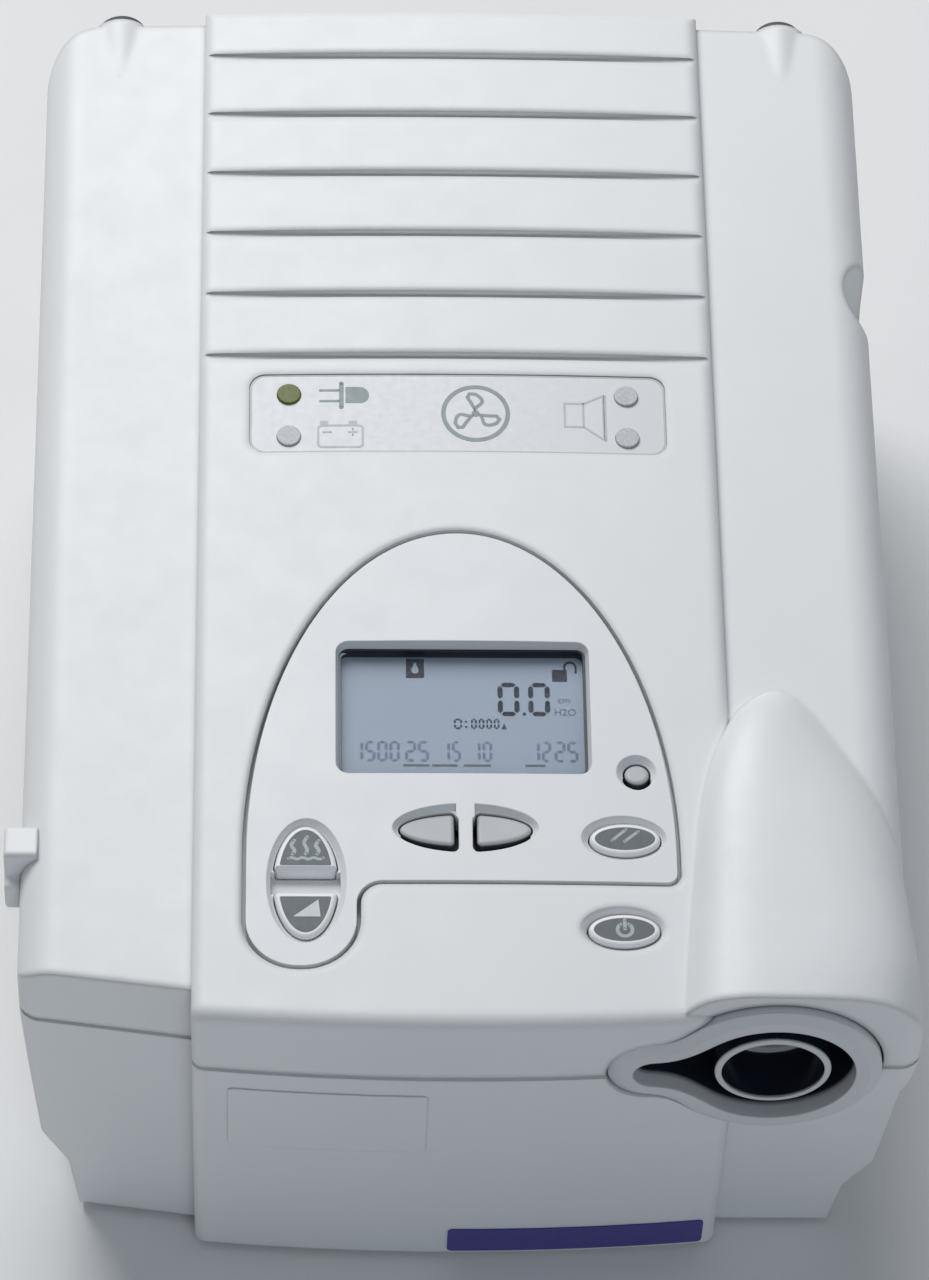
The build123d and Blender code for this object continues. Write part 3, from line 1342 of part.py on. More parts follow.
with BuildPart() as rotor_magnet:
    column(BLOWER_AT, MAGNET_Z, MAGNET_R)
    column(BLOWER_AT, MAGNET_Z, SHAFT_R, Mode.SUBTRACT)
rotor_magnet.part.label = "rotor_magnet"
export_step(rotor_magnet.part, "parts/rotor_magnet.step")

with BuildPart() as motor_shaft:
    column(BLOWER_AT, (MOTOR_BOTTOM_Z, HUB_TOP_Z), SHAFT_R)
motor_shaft.part.label = "motor_shaft"
export_step(motor_shaft.part, "parts/motor_shaft.step")

with BuildPart() as motor_bearings:
    for z in BEARING_SEATS:
        column(BLOWER_AT, (z, z + BEARING_T), BEARING_R - BEARING_FIT)
        column(BLOWER_AT, (z, z + BEARING_T), SHAFT_R + BEARING_GAP, Mode.SUBTRACT)
motor_bearings.part.label = "motor_bearings"
export_step(motor_bearings.part, "parts/motor_bearings.step")

with BuildPart() as blower_mounts:
    for at in MOUNTS:
        column(at, (MOUNT_SEAT_Z, VOLUTE_BOTTOM_Z), MOUNT_R)
        column(at, about(MOUNT_SEAT_Z + MOUNT_T / 2, MOUNT_WAIST_T), MOUNT_R * 2, Mode.SUBTRACT)
        column(at, about(MOUNT_SEAT_Z + MOUNT_T / 2, MOUNT_WAIST_T), MOUNT_WAIST_R)
blower_mounts.part.label = "blower_mounts"
export_step(blower_mounts.part, "parts/blower_mounts.step")

# ---- Ducts, filters and filter cap ----

with BuildPart() as outlet_duct:
    for bore, mode in ((0, Mode.ADD), (DUCT_WALL, Mode.SUBTRACT)):
        with BuildSketch(facing_front(OUTLET_Y)):
            with Locations((OUTLET_X, VOLUTE_SPLIT_Z)):
                Circle(OUTLET_DUCT_R - bore)
        with BuildSketch(FRONT.offset(-PORT_REAR)):
            with Locations((PORT_X, PORT_UP)):
                Circle(OUTLET_DUCT_R - bore)
        loft(mode=mode)
outlet_duct.part.label = "outlet_duct"
export_step(outlet_duct.part, "parts/outlet_duct.step")

with BuildPart() as intake_duct:
    block(DUCT_X, (INTAKE_FRONT_Y, DUCT_END_Y), DUCT_Z)
    block(FILTER_X, (INTAKE_FRONT_Y + DUCT_WALL, DUCT_END_Y), FILTER_Z, Mode.SUBTRACT)
    column(BLOWER_AT, (DUCT_Z[0], FILTER_Z[0]), INLET_R, Mode.SUBTRACT)
intake_duct.part.label = "intake_duct"
export_step(intake_duct.part, "parts/intake_duct.step")

FOAM_Y = (FILTER_AT_Y - FOAM_T, FILTER_AT_Y)

with BuildPart() as foam_filter:
    block(about(BLOWER_X, FILTER_W), FOAM_Y, (FILTER_Z[0], FILTER_Z[0] + FILTER_H))
foam_filter.part.label = "foam_filter"
export_step(foam_filter.part, "parts/foam_filter.step")

with BuildPart() as fine_filter:
    block(about(BLOWER_X, FILTER_W), (FOAM_Y[0] - FINE_T, FOAM_Y[0]), (FILTER_Z[0], FILTER_Z[0] + FILTER_H))
fine_filter.part.label = "fine_filter"
export_step(fine_filter.part, "parts/fine_filter.step")

with BuildPart() as filter_cap:
    cap_at = (-BLOWER_X, (FILTER_Z[0] + FILTER_Z[1]) / 2)
    opening = (FILTER_X[1] - FILTER_X[0], FILTER_Z[1] - FILTER_Z[0])
    with BuildSketch(facing_back(BACK_Y + CAP_GAP)):
        with Locations(cap_at):
            RectangleRounded(opening[0] + 2 * CAP_MARGIN, opening[1] + 2 * CAP_MARGIN, CAP_CORNER_R)
    extrude(amount=CAP_T)
    fillet(filter_cap.faces().sort_by(Axis.Y)[-1].edges(), CAP_ROUND)
    plug = (opening[0] - 2 * CAP_GAP, opening[1] - 2 * CAP_GAP)
    with BuildSketch(facing_back(BACK_Y + CAP_GAP - CAP_PLUG)):
        with Locations(cap_at):
            Rectangle(*plug)
            Rectangle(plug[0] - 2 * DUCT_WALL, plug[1] - 2 * DUCT_WALL, mode=Mode.SUBTRACT)
    extrude(amount=CAP_PLUG)
    with BuildSketch(facing_back(BACK_Y)):
        with Locations(cap_at):
            with GridLocations(CAP_SLOT_PITCH, 1, CAP_SLOTS, 1):
                SlotOverall(CAP_SLOT_L, CAP_SLOT_W, rotation=90)
    extrude(amount=FAR, mode=Mode.SUBTRACT)
filter_cap.part.label = "filter_cap"
export_step(filter_cap.part, "parts/filter_cap.step")

# ---- Back connectors ----

with BuildPart() as ac_inlet:
    lip_y = (BACK_Y, BACK_Y + AC_LIP)
    block(about(AC_X, AC_W), (BACK_Y - AC_DEPTH, BACK_Y + AC_LIP), about(AC_Z, AC_H))
    block(about(AC_X, AC_W + 2 * LIP_W), lip_y, about(AC_Z, AC_H + 2 * LIP_W))
    pocket = (BACK_Y + AC_LIP - AC_SOCKET_DEPTH, BACK_Y + AC_LIP)
    block(about(AC_X, AC_SOCKET_W), pocket, about(AC_Z, AC_SOCKET_H), Mode.SUBTRACT)
    for i in (-1, 0, 1):
        pin_x, pin_z = about(AC_X + i * PIN_SPACING, PIN_T), about(AC_Z - PIN_DROP, PIN_H)
        block(pin_x, (BACK_Y - AC_DEPTH, pocket[0]), pin_z, Mode.SUBTRACT)
ac_inlet.part.label = "ac_inlet"
export_step(ac_inlet.part, "parts/ac_inlet.step")

with BuildPart() as ac_pins:
    for i in (-1, 0, 1):
        pin_x, pin_z = about(AC_X + i * PIN_SPACING, PIN_T), about(AC_Z - PIN_DROP, PIN_H)
        block(pin_x, (BACK_Y - AC_DEPTH - PIN_TAIL, pocket[0] + PIN_L), pin_z)
ac_pins.part.label = "ac_pins"
export_step(ac_pins.part, "parts/ac_pins.step")


def back_disc(at, y, radius, mode=Mode.ADD):
    """A cylinder along Y at (x, z), between a pair of depths."""
    with Locations(facing_back(y[0])):
        with Locations((-at[0], at[1])):
            Cylinder(radius, y[1] - y[0], align=(Align.CENTER, Align.CENTER, Align.MIN), mode=mode)


DC_MOUTH_Y = BACK_Y + CONNECTOR_LIP

with BuildPart() as dc_inlet:
    block(about(DC_X, DC_W), (BACK_Y - CONNECTOR_DEPTH, DC_MOUTH_Y), about(DC_Z, DC_W))
    block(about(DC_X, DC_W + 2 * LIP_W), (BACK_Y, DC_MOUTH_Y), about(DC_Z, DC_W + 2 * LIP_W))
    back_disc((DC_X, DC_Z), (DC_MOUTH_Y - DC_BORE_DEPTH, DC_MOUTH_Y), DC_BORE_R, Mode.SUBTRACT)
dc_inlet.part.label = "dc_inlet"
export_step(dc_inlet.part, "parts/dc_inlet.step")

with BuildPart() as dc_pin:
    back_disc((DC_X, DC_Z), (DC_MOUTH_Y - DC_BORE_DEPTH, BACK_Y), DC_PIN_R)
dc_pin.part.label = "dc_pin"
export_step(dc_pin.part, "parts/dc_pin.step")

with BuildPart() as data_connector:
    body = DATA_W - 2 * LIP_W, DATA_H - 2 * LIP_W
    block(about(DATA_X, body[0]), (BACK_Y - CONNECTOR_DEPTH, BACK_Y), about(DATA_Z, body[1]))
    block(about(DATA_X, DATA_W), (BACK_Y, BACK_Y + CONNECTOR_LIP), about(DATA_Z, DATA_H))
    shell = (BACK_Y + CONNECTOR_LIP, BACK_Y + DATA_SHELL_L)
    inner = DATA_SHELL_W - 2 * DATA_SHELL_WALL, DATA_SHELL_H - 2 * DATA_SHELL_WALL
    block(about(DATA_X, DATA_SHELL_W), shell, about(DATA_Z, DATA_SHELL_H))
    block(about(DATA_X, inner[0]), (BACK_Y, shell[1]), about(DATA_Z, inner[1]), Mode.SUBTRACT)
data_connector.part.label = "data_connector"
export_step(data_connector.part, "parts/data_connector.step")

# ---- Feet, bumpers, screws, clip and front labels ----

with BuildPart() as feet:
    with BuildSketch(Plane.XY):
        with Locations(FEET):
            Circle(FOOT_R)
    extrude(amount=FOOT_T)
    fillet(feet.edges().group_by(Axis.Z)[0], FOOT_ROUND)
feet.part.label = "feet"
export_step(feet.part, "parts/feet.step")

with BuildPart() as rear_bumpers:
    with BuildSketch(facing_back(BACK_Y - SIDE_BACK_STEP + BUMPER_BOSS_OUT - BUMPER_SUNK)):
        with Locations((-BUMPER_X, BUMPER_Z), (BUMPER_X, BUMPER_Z)):
            Circle(BUMPER_R)
    extrude(amount=BUMPER_T)
    fillet(rear_bumpers.edges().group_by(Axis.Y)[-1], FOOT_ROUND)
rear_bumpers.part.label = "rear_bumpers"
export_step(rear_bumpers.part, "parts/rear_bumpers.step")

with BuildPart() as case_screws:
    for at in SCREWS:
        column(at, (SCREW_HEAD_Z - SCREW_HEAD_T, SCREW_HEAD_Z), SCREW_HEAD_R)
        column(at, (SCREW_HEAD_Z, SCREW_HEAD_Z + SCREW_L), SCREW_R)
        bottom = SCREW_HEAD_Z - SCREW_HEAD_T
        column(at, (bottom, bottom + SCREW_DRIVE_DEPTH), SCREW_DRIVE_R, Mode.SUBTRACT)
case_screws.part.label = "case_screws"
export_step(case_screws.part, "parts/case_screws.step")

with BuildPart() as side_clip:
    block((-HALF - CLIP_OUT, -HALF + CLIP_IN), (CLIP_Y[1], CLIP_Y[2]), (CLIP_Z[0], CLIP_Z[2]))
    block((-HALF - CLIP_OUT, -HALF + CLIP_IN), (CLIP_Y[0], CLIP_Y[1]), (CLIP_Z[0], CLIP_Z[1]))
    fillet([e for e in side_clip.edges() if e.center().X < -HALF + CLIP_IN / 2], CLIP_R)
    add(CASE_OUTER, mode=Mode.SUBTRACT)
side_clip.part.label = "side_clip"
export_step(side_clip.part, "parts/side_clip.step")

with BuildPart() as front_label:
    add(front_sheet(STRIP_X, STRIP_Z))
front_label.part.label = "front_label"
export_step(front_label.part, "parts/front_label.step")

with BuildPart() as front_plate:
    add(front_sheet(PLATE_X, PLATE_Z))
front_plate.part.label = "front_plate"
export_step(front_plate.part, "parts/front_plate.step")
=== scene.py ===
"""Looks of the CPAP machine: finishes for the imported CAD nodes, the display's figures, printed
symbols, floor, light and camera. Lengths in helper calls are millimetres; Blender gets metres.
"""

import json
import math

import bmesh
import bpy
from mathutils import Euler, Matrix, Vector


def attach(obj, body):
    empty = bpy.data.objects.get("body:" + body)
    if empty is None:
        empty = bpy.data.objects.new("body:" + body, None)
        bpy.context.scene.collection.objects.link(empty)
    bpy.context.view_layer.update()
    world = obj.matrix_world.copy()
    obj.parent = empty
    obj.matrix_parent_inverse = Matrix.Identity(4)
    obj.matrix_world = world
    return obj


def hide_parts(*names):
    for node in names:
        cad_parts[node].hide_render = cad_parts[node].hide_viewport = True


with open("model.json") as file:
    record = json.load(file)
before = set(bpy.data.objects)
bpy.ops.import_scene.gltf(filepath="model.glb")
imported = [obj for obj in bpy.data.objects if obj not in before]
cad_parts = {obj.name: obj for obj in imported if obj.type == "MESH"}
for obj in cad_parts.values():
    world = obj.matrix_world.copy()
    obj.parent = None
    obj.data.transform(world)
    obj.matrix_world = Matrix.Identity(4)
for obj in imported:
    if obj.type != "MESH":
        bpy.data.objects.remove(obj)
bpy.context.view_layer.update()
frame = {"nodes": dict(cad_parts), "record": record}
nodes = frame["nodes"]

MM = 0.001

# The machine's top plane, as the CAD has it
SLOPE = math.radians(6.0)
TOP_Z = 98.502  # its height at y = 0
PANEL_HALF = 51.2  # half width of the centre panel
CROWN = 1.2  # rise of the centre panel at its middle
DISPLAY_H = -3.1  # display's face under the top plane
LABEL_H = -0.25  # label's face under the crowned panel
PLAIN_KEY_H = -0.8  # middle of a plain key's top under the crowned panel
SYMBOL_KEY_H = -0.15  # top of a key with a symbol under the crowned panel

# Its front plane
LEAN = math.radians(4.2)
FRONT_AT = (0, -118, 68)
OUT = (0, -math.cos(LEAN), -math.sin(LEAN))

# Plain keys: the middle of each top, one middle for the pair, and the way the tops face
PLAIN_KEYS = {"left": (0.2, -79.2), "right": (0.2, -79.2), "light": (33.0, -66.5)}
KEY_TILT = math.radians(3.0)
KEY_UP = (0, math.sin(KEY_TILT), math.cos(KEY_TILT))

# Keys with a symbol: x of their middles
SPLIT_KEYS_X = -30.0
SILENCE_KEY_X = 30.3
STANDBY_KEY_X = 29.6

# Bottom and top of printed ink, from the face it lies on
DISPLAY_INK = (-0.02, 0.05)
LABEL_INK = (-0.2, 0.04)
KEY_INK = (-0.1, 0.02)

CORNER_STEPS = 6  # lines in a rounded corner


# ---- Places on the machine ----


def top_point(x, y, h):
    """Point h above the top plane, over plan position x, y."""
    return Vector(
        (x, y - h * math.sin(SLOPE), TOP_Z + y * math.tan(SLOPE) + h * math.cos(SLOPE))
    ) * MM


def crown(x):
    """Rise of the centre panel over the top plane."""
    return CROWN * (1 - (x / PANEL_HALF) ** 2)


def on_display(x, y, h):
    return top_point(x, y, DISPLAY_H + h)


def on_label(x, y, h):
    return top_point(x, y, crown(x) + LABEL_H + h)


def on_key(key_x):
    """Places on the flat top of a key with a symbol."""
    level = crown(key_x) + SYMBOL_KEY_H

    def place(x, y, h):
        return top_point(x, y, level + h)

    return place


# ---- Mesh building ----


def new_piece(name, mesh, material, body):
    """A mesh as a piece of the machine, riding on a body."""
    obj = bpy.data.objects.new(name, mesh)
    bpy.context.scene.collection.objects.link(obj)
    mesh.materials.append(material)
    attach(obj, body)
    return obj


class Print:
    """Ink laid on a surface: flat figures with a little thickness."""

    def __init__(self, place, bottom, top):
        self.mesh = bmesh.new()
        self.place = place
        self.levels = (bottom, top)

    def plate(self, outline):
        """A filled closed outline, counter-clockwise."""
        low, high = (
            [self.mesh.verts.new(self.place(x, y, h)) for x, y in outline] for h in self.levels
        )
        self.mesh.faces.new(high)
        self.mesh.faces.new(low[::-1])
        for i in range(len(outline)):
            j = (i + 1) % len(outline)
            self.mesh.faces.new((low[i], low[j], high[j], high[i]))

    def stroke(self, points, width, closed=False, round_ends=True):
        """A line of one width through points."""
        points = [Vector(p) for p in points]
        count = len(points)
        sides = []
        for i, point in enumerate(points):
            before = points[i - 1] if closed or i else point
            after = points[(i + 1) % count] if closed or i < count - 1 else point
            into = (point - before).normalized() if point != before else None
            out = (after - point).normalized() if after != point else None
            into, out = into or out, out or into
            along = (into + out).normalized()
            across = Vector((-along.y, along.x))
            reach = width / 2 / max(0.5, along.dot(into))
            sides.append((point + across * reach, point - across * reach))
        if closed:
            self._strip(sides + sides[:1])
            return
        self._strip(sides)
        if round_ends:
            for end in (points[0], points[-1]):
                self.disc(end, width / 2)

    def _strip(self, sides):
        for (a, b), (c, d) in zip(sides, sides[1:]):
            self.plate([a, b, d, c])

    def disc(self, at, radius, steps=20):
        self.plate(arc(at, radius, 0, 360, steps)[:-1])

    def text(self, words, at, size):
        """Words in Blender's own plain font, with their lower left corner at a point."""
        curve = bpy.data.curves.new(words, "FONT")
        curve.body = words
        curve.size = size
        holder = bpy.data.objects.new(words, curve)
        flat = bpy.data.meshes.new_from_object(holder)
        for polygon in flat.polygons:
            corners = [flat.vertices[v].co for v in polygon.vertices]
            self.plate([(at[0] + c.x, at[1] + c.y) for c in corners])
        bpy.data.objects.remove(holder)
        bpy.data.curves.remove(curve)
        bpy.data.meshes.remove(flat)

    def finish(self, name, material, body="root"):
        bmesh.ops.recalc_face_normals(self.mesh, faces=self.mesh.faces)
        mesh = bpy.data.meshes.new(name)
        self.mesh.to_mesh(mesh)
        self.mesh.free()
        return new_piece(name, mesh, material, body)


def polar(at, radius, angle):
    """Point at a radius and an angle in degrees from another."""
    turn = math.radians(angle)
    return at[0] + radius * math.cos(turn), at[1] + radius * math.sin(turn)


def arc(at, radius, start, end, steps=24):
    """Points of a circular arc, angles in degrees."""
    return [polar(at, radius, start + (end - start) * i / steps) for i in range(steps + 1)]


def rounded(left, bottom, right, top, radius, step=2.0):
    """Outline of a rounded rectangle, its straight sides divided for a curved surface."""
    corners = [
        ((right - radius, bottom + radius), -90),
        ((right - radius, top - radius), 0),
        ((left + radius, top - radius), 90),
        ((left + radius, bottom + radius), 180),
    ]
    turns = [arc(at, radius, start, start + 90, CORNER_STEPS) for at, start in corners]
    outline = []
    for turn, ahead in zip(turns, turns[1:] + turns[:1]):
        outline += turn
        parts = max(1, int(math.dist(turn[-1], ahead[0]) / step))
        for k in range(1, parts):
            share = k / parts
            outline.append(tuple(a + (b - a) * share for a, b in zip(turn[-1], ahead[0])))
    return outline


# ---- Materials ----

NOISE = (0.3, 0.7)  # the range that noise values mostly fill
MIX_SOCKETS = (0, 6, 7)  # factor and colours among a colour mix node's inputs
MIX_RESULT = 2
GAP_SAMPLES = 8
EDGE_SAMPLES = 4
CASE_WHITE = (0.80, 0.81, 0.82)
DISPLAY_FIELD = (0.335, 0.40, 0.495)
# Painted shade for the deep insides of recesses and gaps
PAINTED_DEEP_SHADE = (0.014, 0.018, 0.030)
DUST_AND_SHADE_TINT = (0.30, 0.30, 0.31)  # share of the plastic's colour left where dust and painted shade sit in gaps
DUST_AND_SHADE_REACH = 2.2
STEP_BLUR = 0.2
GLOW_STRENGTH = 0.35


class Shader:
    """A Principled material and short ways to feed its sockets from procedural nodes."""

    def __init__(self, name, **constants):
        self.material = bpy.data.materials.new(name)
        self.material.use_nodes = True
        self.tree = self.material.node_tree
        self.bsdf = self.tree.nodes["Principled BSDF"]
        for socket, value in constants.items():
            self.bsdf.inputs[socket.replace("_", " ")].default_value = value
        self.coordinates = self.tree.nodes.new("ShaderNodeTexCoord").outputs["Object"]

    def link(self, source, node, socket):
        self.tree.links.new(source, node.inputs[socket])

    def noise(self, size, detail=3.0, roughness=0.5, stretch=None):
        """Noise whose features are about `size` millimetres across."""
        node = self.tree.nodes.new("ShaderNodeTexNoise")
        node.inputs["Scale"].default_value = 1 / (size * MM)
        node.inputs["Detail"].default_value = detail
        node.inputs["Roughness"].default_value = roughness
        source = self.coordinates
        if stretch:
            mapping = self.tree.nodes.new("ShaderNodeMapping")
            mapping.inputs["Scale"].default_value = stretch
            self.link(source, mapping, "Vector")
            source = mapping.outputs["Vector"]
        self.link(source, node, "Vector")
        return node.outputs["Fac"]

    def along(self, origin, direction):
        """Metres from a point, given in millimetres, measured along a direction."""
        offset = self.tree.nodes.new("ShaderNodeVectorMath")
        offset.operation = "SUBTRACT"
        offset.inputs[1].default_value = [c * MM for c in origin]
        self.link(self.coordinates, offset, 0)
        dot = self.tree.nodes.new("ShaderNodeVectorMath")
        dot.operation = "DOT_PRODUCT"
        dot.inputs[1].default_value = direction
        self.link(offset.outputs["Vector"], dot, 0)
        return dot.outputs["Value"]

    def cells(self, size, feature="F1"):
        node = self.tree.nodes.new("ShaderNodeTexVoronoi")
        node.feature = feature
        node.inputs["Scale"].default_value = 1 / (size * MM)
        self.link(self.coordinates, node, "Vector")
        return node.outputs["Distance"]

    def remap(self, source, low, high, to_low, to_high):
        node = self.tree.nodes.new("ShaderNodeMapRange")
        for socket, value in (
            ("From Min", low),
            ("From Max", high),
            ("To Min", to_low),
            ("To Max", to_high),
        ):
            node.inputs[socket].default_value = value
        self.link(source, node, "Value")
        return node.outputs["Result"]

    def product(self, first, second):
        node = self.tree.nodes.new("ShaderNodeMath")
        node.operation = "MULTIPLY"
        self.link(first, node, 0)
        self.link(second, node, 1)
        return node.outputs["Value"]

    def blend(self, factor, first, second):
        """Mix of two colours by a socket's value; either colour may be a socket."""
        node = self.tree.nodes.new("ShaderNodeMix")
        node.data_type = "RGBA"
        for index, value in zip(MIX_SOCKETS, (factor, first, second)):
            if isinstance(value, bpy.types.NodeSocket):
                self.link(value, node, index)
            else:
                node.inputs[index].default_value = (*value, 1)
        return node.outputs[MIX_RESULT]

    def crevice(self, reach):
        """1 in the open, falling to 0 deep in a gap narrower than `reach` millimetres."""
        node = self.tree.nodes.new("ShaderNodeAmbientOcclusion")
        node.samples = GAP_SAMPLES
        node.inputs["Distance"].default_value = reach * MM
        return node.outputs["AO"]

    def bump(self, height, depth, strength=1.0, normal=None):
        """Bump of `depth` millimetres from a 0 to 1 height."""
        node = self.tree.nodes.new("ShaderNodeBump")
        node.inputs["Distance"].default_value = depth * MM
        node.inputs["Strength"].default_value = strength
        self.link(height, node, "Height")
        if normal:
            self.link(normal, node, "Normal")
        return node.outputs["Normal"]

    def soft_edges(self, radius):
        """Normals of the same surface with its sharp edges rounded off."""
        node = self.tree.nodes.new("ShaderNodeBevel")
        node.samples = EDGE_SAMPLES
        node.inputs["Radius"].default_value = radius * MM
        return node.outputs["Normal"]

    def use(self, socket, source):
        self.link(source, self.bsdf, socket)


def shade(colour, share):
    return tuple(min(1.0, c * share) for c in colour)


def tint(colour, shares):
    return tuple(c * share for c, share in zip(colour, shares))


def moulded(
    name, colour, roughness, grain=0.35, depth=0.006, mottle=0.03, dust_and_shade_share=0.4, edge=0.35,
    dark=None, step=None,
):
    """Moulded plastic: spark-eroded grain, faint mottling, dust and painted shade in its gaps,
    softened edges.

    `dark` is a point, a direction, and where along it the plastic turns to a dark painted shade,
    standing in for the shade deep in a recess or gap.
    `step` is a pair of depths between which that painted shade is left out, so a painted lit step
    shows.
    """
    s = Shader(name, IOR=1.49)
    base = s.blend(s.noise(26, 4, 0.6), shade(colour, 1 - mottle), shade(colour, 1 + mottle))
    # Dust and painted shade: the colour darkens where ambient occlusion finds a narrow gap
    dust_and_shade = s.remap(s.crevice(DUST_AND_SHADE_REACH), 0.25, 0.9, dust_and_shade_share, 0.0)
    base = s.blend(dust_and_shade, base, tint(colour, DUST_AND_SHADE_TINT))
    # Painted shade: past a depth along a direction the plastic turns dark, for the shade deep in
    # a recess or gap, with a painted lit step left between two depths
    if dark:
        origin, direction, clear, shade_at = dark
        place = s.along(origin, direction)
        shaded_base = s.blend(s.remap(place, shade_at * MM, clear * MM, 1.0, 0.0), base, PAINTED_DEEP_SHADE)
        if step:
            low, high = step
            above = s.remap(place, (low - STEP_BLUR) * MM, low * MM, 0.0, 1.0)
            below = s.remap(place, high * MM, (high + STEP_BLUR) * MM, 1.0, 0.0)
            shaded_base = s.blend(s.product(above, below), shaded_base, base)
        base = shaded_base
    s.use("Base Color", base)
    smears = s.remap(s.noise(9, 5, 0.65), *NOISE, roughness - 0.05, roughness + 0.06)
    s.use("Roughness", smears)
    s.use("Normal", s.bump(s.noise(grain, 2, 0.5), depth, 0.5, s.soft_edges(edge)))
    return s.material


def printed(name, colour, roughness=0.45, fade=0.08, **constants):
    """Printing ink: edges and cover slightly uneven."""
    s = Shader(name, IOR=1.5, **constants)
    cover = s.noise(0.6, 4, 0.6)
    s.use("Base Color", s.blend(cover, shade(colour, 1 - fade), shade(colour, 1 + fade)))
    s.use("Roughness", s.remap(s.noise(1.5), *NOISE, roughness - 0.06, roughness + 0.06))
    s.use("Normal", s.bump(s.noise(0.12, 2), 0.004, 0.4))
    return s.material


def rubber(name, colour, roughness=0.75):
    """Dull rubber with a fine unevenness."""
    s = Shader(name, IOR=1.52, Specular_IOR_Level=0.35)
    s.use("Base Color", s.blend(s.noise(1.2, 5, 0.7), shade(colour, 0.85), shade(colour, 1.25)))
    s.use("Roughness", s.remap(s.noise(0.8, 4), *NOISE, roughness - 0.08, roughness + 0.1))
    s.use("Normal", s.bump(s.noise(0.3, 3, 0.6), 0.02, 0.6, s.soft_edges(0.3)))
    return s.material


def metal(name, colour, roughness, stretch=(1, 1, 12)):
    """Drawn or turned metal with fine lines along it and duller patches."""
    s = Shader(name, Metallic=1.0)
    s.use("Base Color", s.blend(s.noise(2.0, 4), shade(colour, 0.9), shade(colour, 1.05)))
    lines = s.noise(0.25, 3, 0.6, stretch)
    s.use("Roughness", s.remap(lines, *NOISE, roughness - 0.08, roughness + 0.12))
    s.use("Normal", s.bump(lines, 0.006, 0.5, s.soft_edges(0.15)))
    return s.material


def circuit_board(name, colour):
    """Solder mask over copper: mottled green with a faint weave."""
    s = Shader(name, IOR=1.55, Coat_Weight=0.4, Coat_Roughness=0.15)
    tracks = s.remap(s.cells(3.5, "DISTANCE_TO_EDGE"), 0.03, 0.06, 0.0, 1.0)
    s.use("Base Color", s.blend(tracks, shade(colour, 1.7), colour))
    s.use("Roughness", s.remap(s.noise(0.9, 4), *NOISE, 0.3, 0.45))
    s.use("Normal", s.bump(tracks, 0.03, 0.5))
    return s.material


def open_foam(name, colour):
    """Open-celled foam: dark pores in a dull matrix."""
    s = Shader(name, Specular_IOR_Level=0.1)
    pores = s.cells(1.1)
    walls = s.remap(pores, 0.1, 0.6, 0, 1)
    s.use("Base Color", s.blend(walls, shade(colour, 0.35), shade(colour, 1.2)))
    s.use("Roughness", s.remap(pores, 0, 1, 0.9, 1.0))
    s.use("Normal", s.bump(pores, 0.4))
    return s.material


def display_face(name, colour):
    """Reflective display: a blue-grey field with a soft drift of tone and fine painted glints."""
    s = Shader(name, IOR=1.5, Specular_IOR_Level=0.3)
    drift = s.blend(s.noise(30, 1, 0.4), shade(colour, 0.94), tint(colour, (1.0, 1.05, 1.1)))
    # Painted glints: fine light specks mixed into the field's colour
    painted_glints = s.remap(s.noise(0.09, 1), 0.35, 0.65, 0, 0.06)
    s.use("Base Color", s.blend(painted_glints, drift, (0.75, 0.8, 0.85)))
    s.use("Roughness", s.remap(s.noise(0.5, 3), *NOISE, 0.38, 0.5))
    s.use("Normal", s.bump(s.noise(0.07, 1), 0.002, 0.4))
    return s.material


def window_sheet(name):
    """Clear hard-coated sheet with hairline scratches."""
    s = Shader(
        name, Base_Color=(0.40, 0.46, 0.54, 1), IOR=1.49, Alpha=0.05, Coat_Weight=0.3,
        Coat_Roughness=0.03,
    )
    scratches = s.noise(1.2, 5, 0.7, (1, 9, 1))
    s.use("Roughness", s.remap(scratches, 0.35, 0.7, 0.04, 0.12))
    s.use("Normal", s.bump(scratches, 0.002, 0.25))
    return s.material


def lens(name, colour, glow=None):
    """Small moulded lens with a facet pattern inside."""
    s = Shader(name, IOR=1.45, Specular_IOR_Level=0.3)
    facets = s.cells(0.5)
    depths = s.remap(facets, 0, 0.8, 0, 1)
    s.use("Base Color", s.blend(depths, shade(colour, 1.1), shade(colour, 0.85)))
    s.use("Roughness", s.remap(s.noise(0.8), *NOISE, 0.18, 0.3))
    s.use("Normal", s.bump(facets, 0.01, 0.2))
    if glow:
        s.bsdf.inputs["Emission Color"].default_value = (*glow, 1)
        s.bsdf.inputs["Emission Strength"].default_value = GLOW_STRENGTH
    return s.material


